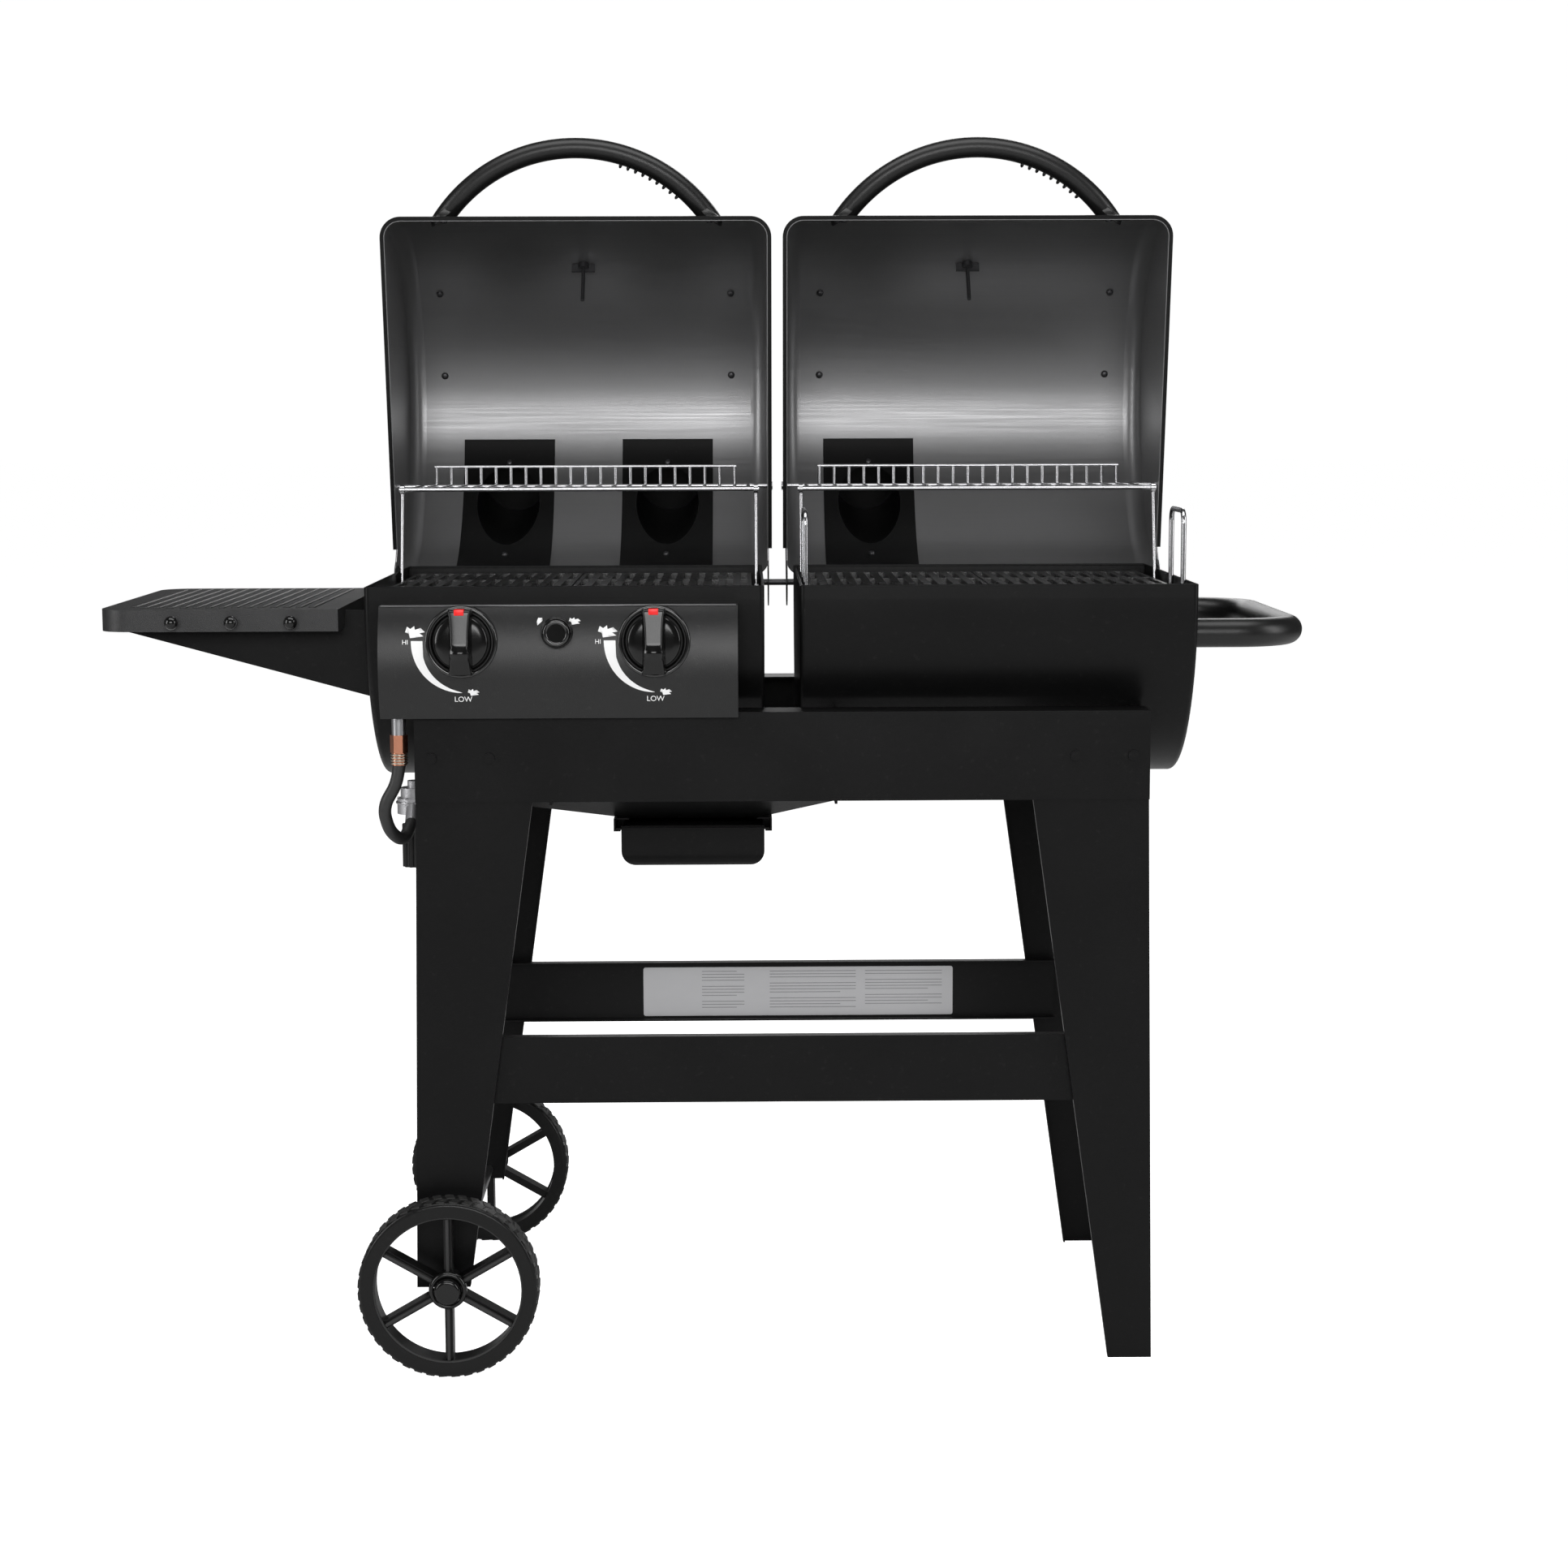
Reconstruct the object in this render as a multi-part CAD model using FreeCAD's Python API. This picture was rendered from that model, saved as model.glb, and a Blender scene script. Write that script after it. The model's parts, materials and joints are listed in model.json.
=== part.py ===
import FreeCAD, Part
import math
import os

os.makedirs("parts", exist_ok=True)

V = FreeCAD.Vector
AXIS_X = V(1, 0, 0)
AXIS_Y = V(0, 1, 0)
AXIS_Z = V(0, 0, 1)

# Twin-barrel grill. X runs along the barrels, -Y is the cook's side, +Z is up.
# The origin is on the floor, midway between the legs.

# Driving dimensions, millimetres
SHEET = 1.6              # barrel and panel sheet
LEG_SHEET = 2.0          # leg, apron and bar sheet
FIT = 0.05               # radial clearance of a running fit

# Cart
FRAME_HALF = 412.0       # outer face of the legs along X
FRAME_Y = 240.0          # outer face of the legs along Y
APRON_TOP = 753.0
APRON_BOTTOM = 652.0
LEG_TOP_W = 131.0
LEG_FOOT_W = 50.0
LEG_SIDE_TOP = 62.0
LEG_SIDE_FOOT = 38.0
LEG_EDGE = 9.0           # bent inner edge of a leg
LEG_SPLAY = 12.0         # how far the feet stand out past the apron
SADDLE_X = (-398.0, -262.0, 60.0, 398.0)
BAR_TOP = 380.0
BAR_BOTTOM = 303.0
BAR_FLANGE = 14.0

# Barrels
TUB_R = 220.0
TUB_AXIS_Z = 878.0
RIM_Z = 893.0
TUB_IN = 20.0            # inner end of each tub from the middle
TUB_OUT = 470.0
TUB_EDGE = 6.0

# Lids, drawn closed and then swung open
LID_R = 226.0
LID_Z = 880.0
LID_IN = 11.0
LID_OUT = 486.0
LID_EDGE = 22.0
LID_MID = (LID_IN + LID_OUT) / 2
LID_LIP = 4.0
HINGE_Y = 232.0
HINGE_Z = 871.0
HINGE_R = 4.0
EAR_R = 30.0
OPEN_ANGLE = 79.0

# Lid handle, an arch in front of the closed lid
GRIP_R = 12.5
GRIP_ARC = 203.0
GRIP_REACH = 309.0
GRIP_Z = 915.0

# Smokestacks
STACK_R = 43.0
STACK_Y = 164.0
STACK_TOP = 1170.0
STACK_PLATE = 60.0       # half width of the plates round the stack
STACK_OFFSETS = (-105.0, 105.0)
LONE_STACK_OFFSET = -125.0
CAP_R = 52.0

# Thermometer
THERMO_ANGLE = 131.0
THERMO_R = 34.0
STEM_R = 2.5

# Warming rack parallelogram
RACK_Y = 260.0
RACK_Z = 993.0
RACK_DEPTH = 150.0
RACK_IN = 35.0
RACK_OUT = 455.0
WIRE = 2.0
FRAME_WIRE = 2.5
EDGE_X_IN = 27.8         # the slot between grate and tub end
EDGE_X_OUT = 462.2
FENCE_H = 25.0

# Cooking grates
GRATE_TOP = 885.0
GRATE_T = 12.0
GRATE_Y = 205.0
GRATE_IN = 34.0
GRATE_OUT = 456.0
GRATE_PITCH = 18.0

# Fire grate of the charcoal side
FIRE_Z = 768.0
FIRE_Y = 140.0
LIFT_TOP = 973.0
LIFT_Y = -100.0
LIFT_HALF = 48.0
LIFT_R = 3.0

# Gas side
KNOB_X = (-357.0, -143.0)
KNOB_Z = 835.0
PANEL_X = (-450.0, -50.0)
PANEL_TOP = 874.0
PANEL_BOTTOM = 748.0
PANEL_GAP = 0.4          # between the panel and the apron that it laps over
BEZEL_R = 40.0
IGNITER_X = -251.0
IGNITER_Z = 845.0
MANIFOLD_Y = -232.0
MANIFOLD_R = 8.0
BURNER_R = 13.0
INLET_X = -432.0

# Shelf
SHELF_X = (-774.0, -502.0)
SHELF_Y = 200.0
SHELF_TOP = 867.5
SHELF_LIP = 25.0
HOOK_X = (-688.0, -620.0, -554.0)

# Cart handle
PUSH_Z = 836.0
PUSH_Y = 190.0
PUSH_X = 588.0
PUSH_R = 16.5
PUSH_BEND = 70.0

# Running gear
WHEEL_R = 101.6
WHEEL_X = -382.0
WHEEL_Y = 275.0
WHEEL_W = 38.0
AXLE_R = 6.0
SPOKES = 6

# Grease pan and cup
PAN_X = (-396.0, 98.0)
PAN_Y = 150.0
PAN_TOP = 648.0
PAN_FLOOR = 608.0
CUP_X = (-190.0, -20.0)
CUP_Y = 70.0
CUP_Z = (550.0, 600.0)


def box(x0, x1, y0, y1, z0, z1):
    """Box from its two corners, given as axis ranges."""
    return Part.makeBox(x1 - x0, y1 - y0, z1 - z0, V(x0, y0, z0))


def rod(start, axis, radius, length):
    """Cylinder from a start point along an axis."""
    return Part.makeCylinder(radius, length, V(*start), axis)


def prism(points, offset):
    """Solid from a closed outline of points, pushed along offset."""
    outline = Part.makePolygon([V(*p) for p in points] + [V(*points[0])])
    return Part.Face(outline).extrude(V(*offset))


def joined(shapes):
    """One solid from shapes that overlap."""
    return shapes[0].multiFuse(shapes[1:]).removeSplitter()


def mirrored_x(shape):
    return shape.mirror(V(0, 0, 0), AXIS_X)


def mirrored_y(shape):
    return shape.mirror(V(0, 0, 0), AXIS_Y)


def opened(shape):
    """Swing a piece of a closed lid to its open place."""
    turned = shape.copy()
    turned.rotate(V(0, HINGE_Y, HINGE_Z), AXIS_X, -OPEN_ANGLE)
    return turned


def pipe(points, bend, radius):
    """Round bar along straight runs joined by tangent arcs of one radius."""
    pts = [V(*p) for p in points]
    bends = [bend] * len(pts) if isinstance(bend, (int, float)) else bend
    edges = []
    here = pts[0]
    for i in range(1, len(pts) - 1):
        before = (pts[i] - pts[i - 1]).normalize()
        after = (pts[i + 1] - pts[i]).normalize()
        turn = before.getAngle(after)
        cut = bends[i] * math.tan(turn / 2)
        a = pts[i] - before * cut
        b = pts[i] + after * cut
        middle_dir = (after - before).normalize()
        centre = pts[i] + middle_dir * (bends[i] / math.cos(turn / 2))
        middle = centre - middle_dir * bends[i]
        if (a - here).Length > 1e-4:
            edges.append(Part.LineSegment(here, a).toShape())
        edges.append(Part.Arc(a, middle, b).toShape())
        here = b
    edges.append(Part.LineSegment(here, pts[-1]).toShape())
    path = Part.Wire(edges)
    start_dir = (pts[1] - pts[0]).normalize()
    section = Part.Wire([Part.makeCircle(radius, pts[0], start_dir)])
    return path.makePipeShell([section], True, False)


def save(name, shape):
    shape.exportStep("parts/" + name + ".step")


# ---------------------------------------------------------------- cart


def right_leg(foot_z):
    """Front right leg: tapered face, tapered side and a bent inner edge."""
    top_z = APRON_TOP - 5.0
    span = APRON_BOTTOM
    slope = (LEG_TOP_W - LEG_FOOT_W) / span
    foot_w = LEG_FOOT_W + slope * foot_z
    top_w = LEG_TOP_W + slope * (top_z - span)
    x = FRAME_HALF
    foot_x = x + LEG_SPLAY * (1 - foot_z / top_z)
    y = -FRAME_Y
    inner = foot_x - foot_w
    face = prism([(foot_x, y, foot_z), (inner, y, foot_z), (x - top_w, y, top_z), (x, y, top_z)],
                 (0, LEG_SHEET, 0))
    side = prism([(foot_x, y, foot_z), (foot_x, y + LEG_SIDE_FOOT, foot_z), (x, y + LEG_SIDE_TOP, top_z),
                  (x, y, top_z)], (-LEG_SHEET, 0, 0))
    edge = prism([(inner, y, foot_z), (inner, y + LEG_EDGE, foot_z),
                  (x - top_w, y + LEG_EDGE, top_z), (x - top_w, y, top_z)], (LEG_SHEET, 0, 0))
    return joined([face, side, edge])


def make_legs():
    plain = right_leg(0.0)
    save("front_right_leg", plain)
    save("rear_right_leg", mirrored_y(plain))
    short = mirrored_x(right_leg(WHEEL_R - 12.0))
    axle_hole = rod((WHEEL_X, -FRAME_Y - 5, WHEEL_R), AXIS_Y, AXLE_R + FIT, 20.0)
    short = short.cut(axle_hole)
    save("front_left_leg", short)
    save("rear_left_leg", mirrored_y(short))


def apron():
    """Channel across the front, lapped over the tops of the legs."""
    x = FRAME_HALF + 2.0
    y = -FRAME_Y
    face = box(-x, x, y - LEG_SHEET, y, APRON_BOTTOM, APRON_TOP)
    top = box(-x, x, y - LEG_SHEET, -192.0, APRON_TOP - LEG_SHEET, APRON_TOP)
    return joined([face, top])


def lower_bar():
    x = 358.0
    y = -FRAME_Y + LEG_EDGE
    face = box(-x, x, y, y + LEG_SHEET, BAR_BOTTOM, BAR_TOP)
    flanges = [box(-x, x, y, y + BAR_FLANGE, z, z + LEG_SHEET)
               for z in (BAR_BOTTOM, BAR_TOP - LEG_SHEET)]
    return joined([face] + flanges)


def saddle(x):
    """Cross plate under the tubs, with its top edge cut to their curve."""
    plate = box(x - 1.5, x + 1.5, -FRAME_Y + LEG_SHEET, FRAME_Y - LEG_SHEET, PAN_TOP, APRON_TOP - LEG_SHEET)
    round_cut = rod((x - 5, 0, TUB_AXIS_Z), AXIS_X, TUB_R, 10.0)
    shape = plate.cut(round_cut)
    for side in (-1, 1):
        corner_x = FRAME_HALF - LEG_SHEET
        post = box(-corner_x - 10, corner_x + 10, min(side * 240, side * 178), max(side * 240, side * 178),
                   APRON_TOP - 2 * LEG_SHEET, APRON_TOP)
        shape = shape.cut(post)
    return shape


def make_frame():
    for name, shape in (("front_apron", apron()), ("front_lower_bar", lower_bar())):
        save(name, shape)
        save(name.replace("front", "rear"), mirrored_y(shape))
    save("tub_saddles", Part.makeCompound([saddle(x) for x in SADDLE_X]))


def make_bolts():
    """Round-headed bolts of the cart: aprons to legs, lower bars to legs."""
    heads = []
    for side in (-1, 1):
        for sx in (-1, 1):
            for x in (395.0, 330.0):
                y = side * (FRAME_Y + LEG_SHEET)
                heads.append(rod((sx * x, y, APRON_BOTTOM + 50.0), V(0, side, 0), 6.0, 3.0))
    save("frame_bolts", Part.makeCompound(heads))


# ---------------------------------------------------------------- barrels


def half_barrel(x0, x1, radius, edge):
    """Lower half of a barrel as a solid, with a short straight wall on top."""
    length = x1 - x0
    half = rod((x0, 0, TUB_AXIS_Z), AXIS_X, radius, length)
    half = half.common(box(x0 - 1, x1 + 1, -radius - 1, radius + 1, TUB_AXIS_Z - radius - 1, TUB_AXIS_Z))
    ends = []
    for e in half.Edges:
        box_e = e.BoundBox
        if box_e.XLength < 0.01 and box_e.ZLength > radius * 0.9:
            ends.append(e)
    half = half.makeFillet(edge, ends)
    return half


def rim_frame(x0, x1, y, edge):
    """Upright wall round the rim, with the same rounded corners as the barrel."""
    block = box(x0, x1, -y, y, TUB_AXIS_Z, RIM_Z)
    uprights = [e for e in block.Edges if e.BoundBox.ZLength > 5]
    return block.makeFillet(edge, uprights)


def tub():
    """Right-hand tub as an open shell, with studs for the rack legs."""
    outer = half_barrel(TUB_IN, TUB_OUT, TUB_R, TUB_EDGE)
    inner = half_barrel(TUB_IN + SHEET, TUB_OUT - SHEET, TUB_R - SHEET, TUB_EDGE - SHEET)
    wall = rim_frame(TUB_IN, TUB_OUT, TUB_R, TUB_EDGE)
    hollow = rim_frame(TUB_IN + SHEET, TUB_OUT - SHEET, TUB_R - SHEET, TUB_EDGE - SHEET)
    shell = outer.fuse(wall).cut(inner.fuse(hollow)).removeSplitter()
    stud_y = HINGE_Y - RACK_DEPTH
    studs = [rod((TUB_IN + SHEET / 2, stud_y, HINGE_Z), AXIS_X, 2.5, 9.0),
             rod((TUB_OUT - SHEET / 2 - 9.0, stud_y, HINGE_Z), AXIS_X, 2.5, 9.0)]
    return joined([shell] + studs)


def make_tubs():
    plain = tub()
    vent = rod((TUB_OUT - 5, -90, 760), AXIS_X, 2.0 + FIT, 10)
    holes = [rod((TUB_OUT - 5, -90 + 26 * math.cos(a), 760 + 26 * math.sin(a)), AXIS_X, 12.0, 10)
             for a in (math.pi / 2, math.pi * 3 / 2)]
    save("charcoal_tub", plain.cut(Part.makeCompound([vent] + holes)))
    gas = mirrored_x(plain)
    cuts = [rod((x, -TUB_R - 5, KNOB_Z), AXIS_Y, BURNER_R + FIT, 20) for x in KNOB_X]
    cuts.append(box(-200, -120, -20, 20, TUB_AXIS_Z - TUB_R - 5, TUB_AXIS_Z - TUB_R + 10))
    save("gas_tub", gas.cut(Part.makeCompound(cuts)))


def make_ledges():
    """Strips along the front and back walls that carry the cooking grates."""
    strips = []
    for side in (-1, 1):
        for front in (-1, 1):
            y0, y1 = sorted((front * 196.0, front * (TUB_R - SHEET - 0.2)))
            x0, x1 = sorted((side * GRATE_IN, side * GRATE_OUT))
            strips.append(box(x0, x1, y0, y1, GRATE_TOP - GRATE_T - 2.5, GRATE_TOP - GRATE_T))
    save("grate_ledges", Part.makeCompound(strips))


def grate(x0, x1):
    """Cast cooking grate: a frame, bars front to back and two cross ribs."""
    low = GRATE_TOP - GRATE_T
    block = box(x0, x1, -GRATE_Y, GRATE_Y, low, GRATE_TOP)
    count = round((x1 - x0) / GRATE_PITCH)
    pitch = (x1 - x0) / count
    slots = []
    for i in range(count):
        a = x0 + i * pitch + pitch * 0.26
        b = x0 + (i + 1) * pitch - pitch * 0.26
        for y0, y1 in ((-GRATE_Y + 8, -72), (-64, 64), (72, GRATE_Y - 8)):
            slots.append(box(a, b, y0, y1, low - 1, GRATE_TOP + 1))
    return block.cut(Part.makeCompound(slots))


def make_grates():
    middle = (GRATE_IN + GRATE_OUT) / 2
    pair = (grate(GRATE_IN, middle - 1), grate(middle + 1, GRATE_OUT))
    save("charcoal_cooking_grate_left", pair[0])
    save("charcoal_cooking_grate_right", pair[1])
    save("gas_cooking_grate_left", mirrored_x(pair[1]))
    save("gas_cooking_grate_right", mirrored_x(pair[0]))


def make_fire_grate():
    """Fire grate that holds the charcoal, hung from a wire handle at each end."""
    x0 = EDGE_X_IN - LIFT_R
    x1 = EDGE_X_OUT + LIFT_R
    sides = [box(x0 + 2, x1 - 2, y, y + 5, FIRE_Z, FIRE_Z + 8) for y in (-FIRE_Y, FIRE_Y - 5, -2.5)]
    count = 24
    pitch = (x1 - x0 - 10) / (count - 1)
    bars = [box(x0 + 2 + i * pitch, x0 + 8 + i * pitch, -FIRE_Y, FIRE_Y, FIRE_Z, FIRE_Z + 6)
            for i in range(count)]
    save("fire_grate", joined(sides + bars))
    loops = []
    for x in (EDGE_X_IN, EDGE_X_OUT):
        points = [(x, LIFT_Y - LIFT_HALF, FIRE_Z + 6), (x, LIFT_Y - LIFT_HALF, LIFT_TOP),
                  (x, LIFT_Y + LIFT_HALF, LIFT_TOP), (x, LIFT_Y + LIFT_HALF, FIRE_Z + 6)]
        loops.append(pipe(points, 14.0, LIFT_R))
    save("fire_grate_lift_handles", Part.makeCompound(loops))


def make_damper():
    """Round air shutter with a knob, on the outer end of the charcoal tub."""
    x = TUB_OUT + 0.35
    disc = rod((x, -90, 760), AXIS_X, 42.0, SHEET)
    holes = [rod((x - 1, -90 + 26 * math.cos(a), 760 + 26 * math.sin(a)), AXIS_X, 12.0, 5)
             for a in (0, math.pi)]
    pin = rod((TUB_OUT - 6, -90, 760), AXIS_X, 2.0, 20.0)
    knob = rod((x + SHEET, -90, 760), AXIS_X, 6.5, 11.0)
    save("air_damper", joined([disc.cut(Part.makeCompound(holes)), pin, knob]))


def make_cart_handle():
    points = [(TUB_OUT, -PUSH_Y, PUSH_Z), (PUSH_X, -PUSH_Y, PUSH_Z),
              (PUSH_X, PUSH_Y, PUSH_Z), (TUB_OUT, PUSH_Y, PUSH_Z)]
    save("cart_handle", pipe(points, PUSH_BEND, PUSH_R))


# ---------------------------------------------------------------- lids


def lid_block(x0, x1, radius, edge):
    """Upper half of a barrel as a solid, with rounded ends."""
    full = rod((x0, 0, LID_Z), AXIS_X, radius, x1 - x0)
    rims = [e for e in full.Edges if e.BoundBox.XLength < 0.01]
    full = full.makeFillet(edge, rims)
    return full.common(box(x0 - 1, x1 + 1, -radius - 1, radius + 1, LID_Z, LID_Z + radius + 1))


def lid_lip():
    """Lip turned outwards round the front and ends of the lid."""
    out = LID_LIP
    big = box(LID_IN - out, LID_OUT + out, -LID_R - out, LID_R + out, LID_Z, LID_Z + 2.5)
    big = big.makeFillet(LID_EDGE + out, [e for e in big.Edges if e.BoundBox.ZLength > 2])
    small = box(LID_IN + 1, LID_OUT - 1, -LID_R + 1, LID_R - 1, LID_Z - 1, LID_Z + 4)
    small = small.makeFillet(LID_EDGE - 1, [e for e in small.Edges if e.BoundBox.ZLength > 2])
    lip = big.cut(small)
    return lip.cut(box(LID_IN - 9, LID_OUT + 9, 190, LID_R + 9, LID_Z - 1, LID_Z + 4))


def ear(x0):
    """Rounded ear round the hinge, part of a lid's end panel."""
    disc = rod((x0, HINGE_Y, HINGE_Z), AXIS_X, EAR_R, SHEET)
    web = prism([(x0, 190, LID_Z), (x0, 205, HINGE_Z - 8), (x0, HINGE_Y, HINGE_Z),
                 (x0, HINGE_Y + 20, HINGE_Z + 22), (x0, 200, 950), (x0, 180, 950)], (SHEET, 0, 0))
    return joined([disc, web])


def stack_bore(offset, radius):
    return rod((LID_MID + offset, STACK_Y, LID_Z), AXIS_Z, radius, 400)


def closed_lid(stack_offsets):
    """Right-hand lid, closed."""
    outer = lid_block(LID_IN, LID_OUT, LID_R, LID_EDGE)
    inner = lid_block(LID_IN + SHEET, LID_OUT - SHEET, LID_R - SHEET, LID_EDGE - SHEET)
    shell = outer.cut(inner)
    shape = joined([shell, lid_lip(), ear(LID_IN), ear(LID_OUT - SHEET)])
    holes = [rod((LID_IN - 10, HINGE_Y, HINGE_Z), AXIS_X, HINGE_R + FIT, LID_OUT + 20)]
    holes.append(rack_pin_hole())
    holes.append(thermo_rod(200, 240, STEM_R + FIT))
    holes += [stack_bore(o, STACK_R - SHEET) for o in stack_offsets]
    return shape.cut(Part.makeCompound(holes))


def rack_pin_hole():
    """Holes in both ends of the closed lid for the pins of the warming rack."""
    hole = rod((LID_IN - 10, RACK_Y, RACK_Z), AXIS_X, 3.0 + FIT, LID_OUT + 20)
    hole.rotate(V(0, HINGE_Y, HINGE_Z), AXIS_X, OPEN_ANGLE)
    return hole


def thermo_rod(r0, r1, radius):
    """Cylinder on the thermometer's line, from one barrel radius to another."""
    a = math.radians(THERMO_ANGLE)
    out = V(0, math.cos(a), math.sin(a))
    start = V(LID_MID, 0, LID_Z) + out * r0
    return Part.makeCylinder(radius, r1 - r0, start, out)


def thermometer():
    """Dial and stem, with the washer and wing nut inside the lid."""
    dial = thermo_rod(LID_R + 0.5, LID_R + 15, THERMO_R)
    collar = thermo_rod(LID_R - SHEET / 2, LID_R + 1, STEM_R)
    stem = thermo_rod(LID_R - 62, LID_R + 1, STEM_R)
    nut = thermo_rod(LID_R - SHEET - 9, LID_R - SHEET - 1, 7.0)
    a = math.radians(THERMO_ANGLE)
    base = V(LID_MID, 0, LID_Z) + V(0, math.cos(a), math.sin(a)) * (LID_R - SHEET - 13)
    wings = Part.makeBox(30, 2.5, 12, base - V(15, 1.25, 0))
    wings.rotate(base, AXIS_X, THERMO_ANGLE - 90)
    return joined([dial, collar, stem, nut, wings])


def handle():
    """Arch of round tube whose ends stand on the front of the lid."""
    centre = V(LID_MID, -GRIP_REACH + GRIP_ARC, GRIP_Z)
    arch = Part.makeTorus(GRIP_ARC, GRIP_R, centre, AXIS_Z)
    lid_side = rod((LID_IN - 5, 0, LID_Z), AXIS_X, LID_R, LID_OUT)
    keep = box(0, 500, -400, -150, 850, 1000)
    return arch.common(keep).cut(lid_side)


def stack(offset):
    """Smokestack on its curved flange."""
    x = LID_MID + offset
    tube = stack_bore(offset, STACK_R).common(box(0, 500, 0, 400, 950, STACK_TOP))
    flange = box(x - STACK_PLATE, x + STACK_PLATE, 96, 222, 900, 1150)
    ring = rod((0, 0, LID_Z), AXIS_X, LID_R + 2.0, 500)
    flange = flange.common(ring)
    lid_side = rod((0, 0, LID_Z), AXIS_X, LID_R, 500)
    post = rod((x, STACK_Y + STACK_R + 6, STACK_TOP - 30), AXIS_Z, 7.0, 30)
    web = box(x - 3, x + 3, STACK_Y + STACK_R - 1, STACK_Y + STACK_R + 8, STACK_TOP - 30, STACK_TOP)
    body = joined([tube, flange, post, web]).cut(lid_side)
    return body.cut(stack_bore(offset, STACK_R - SHEET)).cut(
        rod((x, STACK_Y + STACK_R + 6, STACK_TOP - 22), AXIS_Z, 3.0 + FIT, 30))


def stack_inner_plate(offset):
    """Plate inside the lid that clamps the stack."""
    x = LID_MID + offset
    plate = box(x - STACK_PLATE, x + STACK_PLATE, 90, 226, 900, 1150)
    outer = rod((0, 0, LID_Z), AXIS_X, LID_R - SHEET, 500)
    inner = rod((0, 0, LID_Z), AXIS_X, LID_R - SHEET - 1.5, 500)
    return plate.common(outer).cut(inner).cut(stack_bore(offset, STACK_R - 2))


def stack_cap(offset):
    """Rain cap that swings about a pin beside the stack."""
    x = LID_MID + offset
    z = STACK_TOP + 0.4
    disc = rod((x, STACK_Y, z), AXIS_Z, CAP_R, 2.0)
    lug = rod((x, STACK_Y + STACK_R + 6, z), AXIS_Z, 8.0, 2.0)
    pin = rod((x, STACK_Y + STACK_R + 6, STACK_TOP - 18), AXIS_Z, 3.0, 24)
    return joined([disc, lug, pin])


def rack():
    """Warming rack with its back fence and pivot pins, in its open place."""
    y1 = RACK_Y
    y0 = RACK_Y - RACK_DEPTH
    z = RACK_Z
    span = RACK_OUT - RACK_IN
    parts = [rod((RACK_IN, y1, z), AXIS_X, FRAME_WIRE, span)]
    parts.append(rod((EDGE_X_IN - 4, y0, z), AXIS_X, FRAME_WIRE, EDGE_X_OUT - EDGE_X_IN + 8))
    parts += [rod((x, y0, z), AXIS_Y, FRAME_WIRE, RACK_DEPTH) for x in (RACK_IN + 2, RACK_OUT - 2)]
    parts.append(rod((RACK_IN, (y0 + y1) / 2, z - 2), AXIS_X, WIRE, span))
    count = 22
    pitch = span / count
    for i in range(1, count):
        x = RACK_IN + i * pitch
        parts.append(rod((x, y0, z + 1), AXIS_Y, WIRE, RACK_DEPTH))
        parts.append(rod((x, y1, z), AXIS_Z, WIRE, FENCE_H))
    parts.append(rod((RACK_IN + pitch - WIRE, y1, z + FENCE_H), AXIS_X, WIRE, span - 2 * pitch + 2 * WIRE))
    for start, end in ((LID_IN - 3, RACK_IN + 1), (RACK_OUT - 1, LID_OUT + 3)):
        parts.append(rod((start, y1, z), AXIS_X, 3.0, end - start))
    parts.append(rod((LID_IN - 5.3, y1, z), AXIS_X, 5.5, 5.0))
    parts.append(rod((LID_OUT + 0.3, y1, z), AXIS_X, 5.5, 5.0))
    return joined(parts)


def rack_leg(x):
    """Wire leg with an eye at each end, as long as the lid's crank."""
    top_y = RACK_Y - RACK_DEPTH
    low_y = HINGE_Y - RACK_DEPTH
    top = V(x, top_y, RACK_Z)
    low = V(x, low_y, HINGE_Z)
    wire = Part.makeCylinder(WIRE, (top - low).Length, low, top - low)
    eyes = [rod((x - 2.5, top_y, RACK_Z), AXIS_X, 6.0, 5.0), rod((x - 2.5, low_y, HINGE_Z), AXIS_X, 7.0, 5.0)]
    body = joined([wire] + eyes)
    body = body.cut(rod((x - 5, top_y, RACK_Z), AXIS_X, FRAME_WIRE + FIT, 10))
    return body.cut(rod((x - 5, low_y, HINGE_Z), AXIS_X, 3.5, 10))


def make_lids():
    charcoal = closed_lid((LONE_STACK_OFFSET,))
    gas = closed_lid(STACK_OFFSETS)
    save("charcoal_lid", opened(charcoal))
    save("gas_lid", opened(mirrored_x(gas)))
    grip = handle()
    save("charcoal_lid_handle", opened(grip))
    save("gas_lid_handle", opened(mirrored_x(grip)))
    gauge = thermometer()
    save("charcoal_thermometer", opened(gauge))
    save("gas_thermometer", opened(mirrored_x(gauge)))


def make_stacks():
    """Each stack node holds the stacks and the plates that clamp them from inside."""
    lone = [stack(LONE_STACK_OFFSET), stack_inner_plate(LONE_STACK_OFFSET)]
    save("charcoal_smokestack", opened(Part.makeCompound(lone)))
    save("charcoal_stack_cap", opened(stack_cap(LONE_STACK_OFFSET)))
    pair = [make(offset) for offset in STACK_OFFSETS for make in (stack, stack_inner_plate)]
    save("gas_smokestacks", opened(mirrored_x(Part.makeCompound(pair))))
    save("gas_stack_cap_left", opened(mirrored_x(stack_cap(STACK_OFFSETS[1]))))
    save("gas_stack_cap_right", opened(mirrored_x(stack_cap(STACK_OFFSETS[0]))))


def make_racks():
    shape = rack()
    save("charcoal_warming_rack", shape)
    save("gas_warming_rack", mirrored_x(shape))
    legs = Part.makeCompound([rack_leg(EDGE_X_IN), rack_leg(EDGE_X_OUT)])
    save("charcoal_rack_legs", legs)
    save("gas_rack_legs", mirrored_x(legs))


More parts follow.
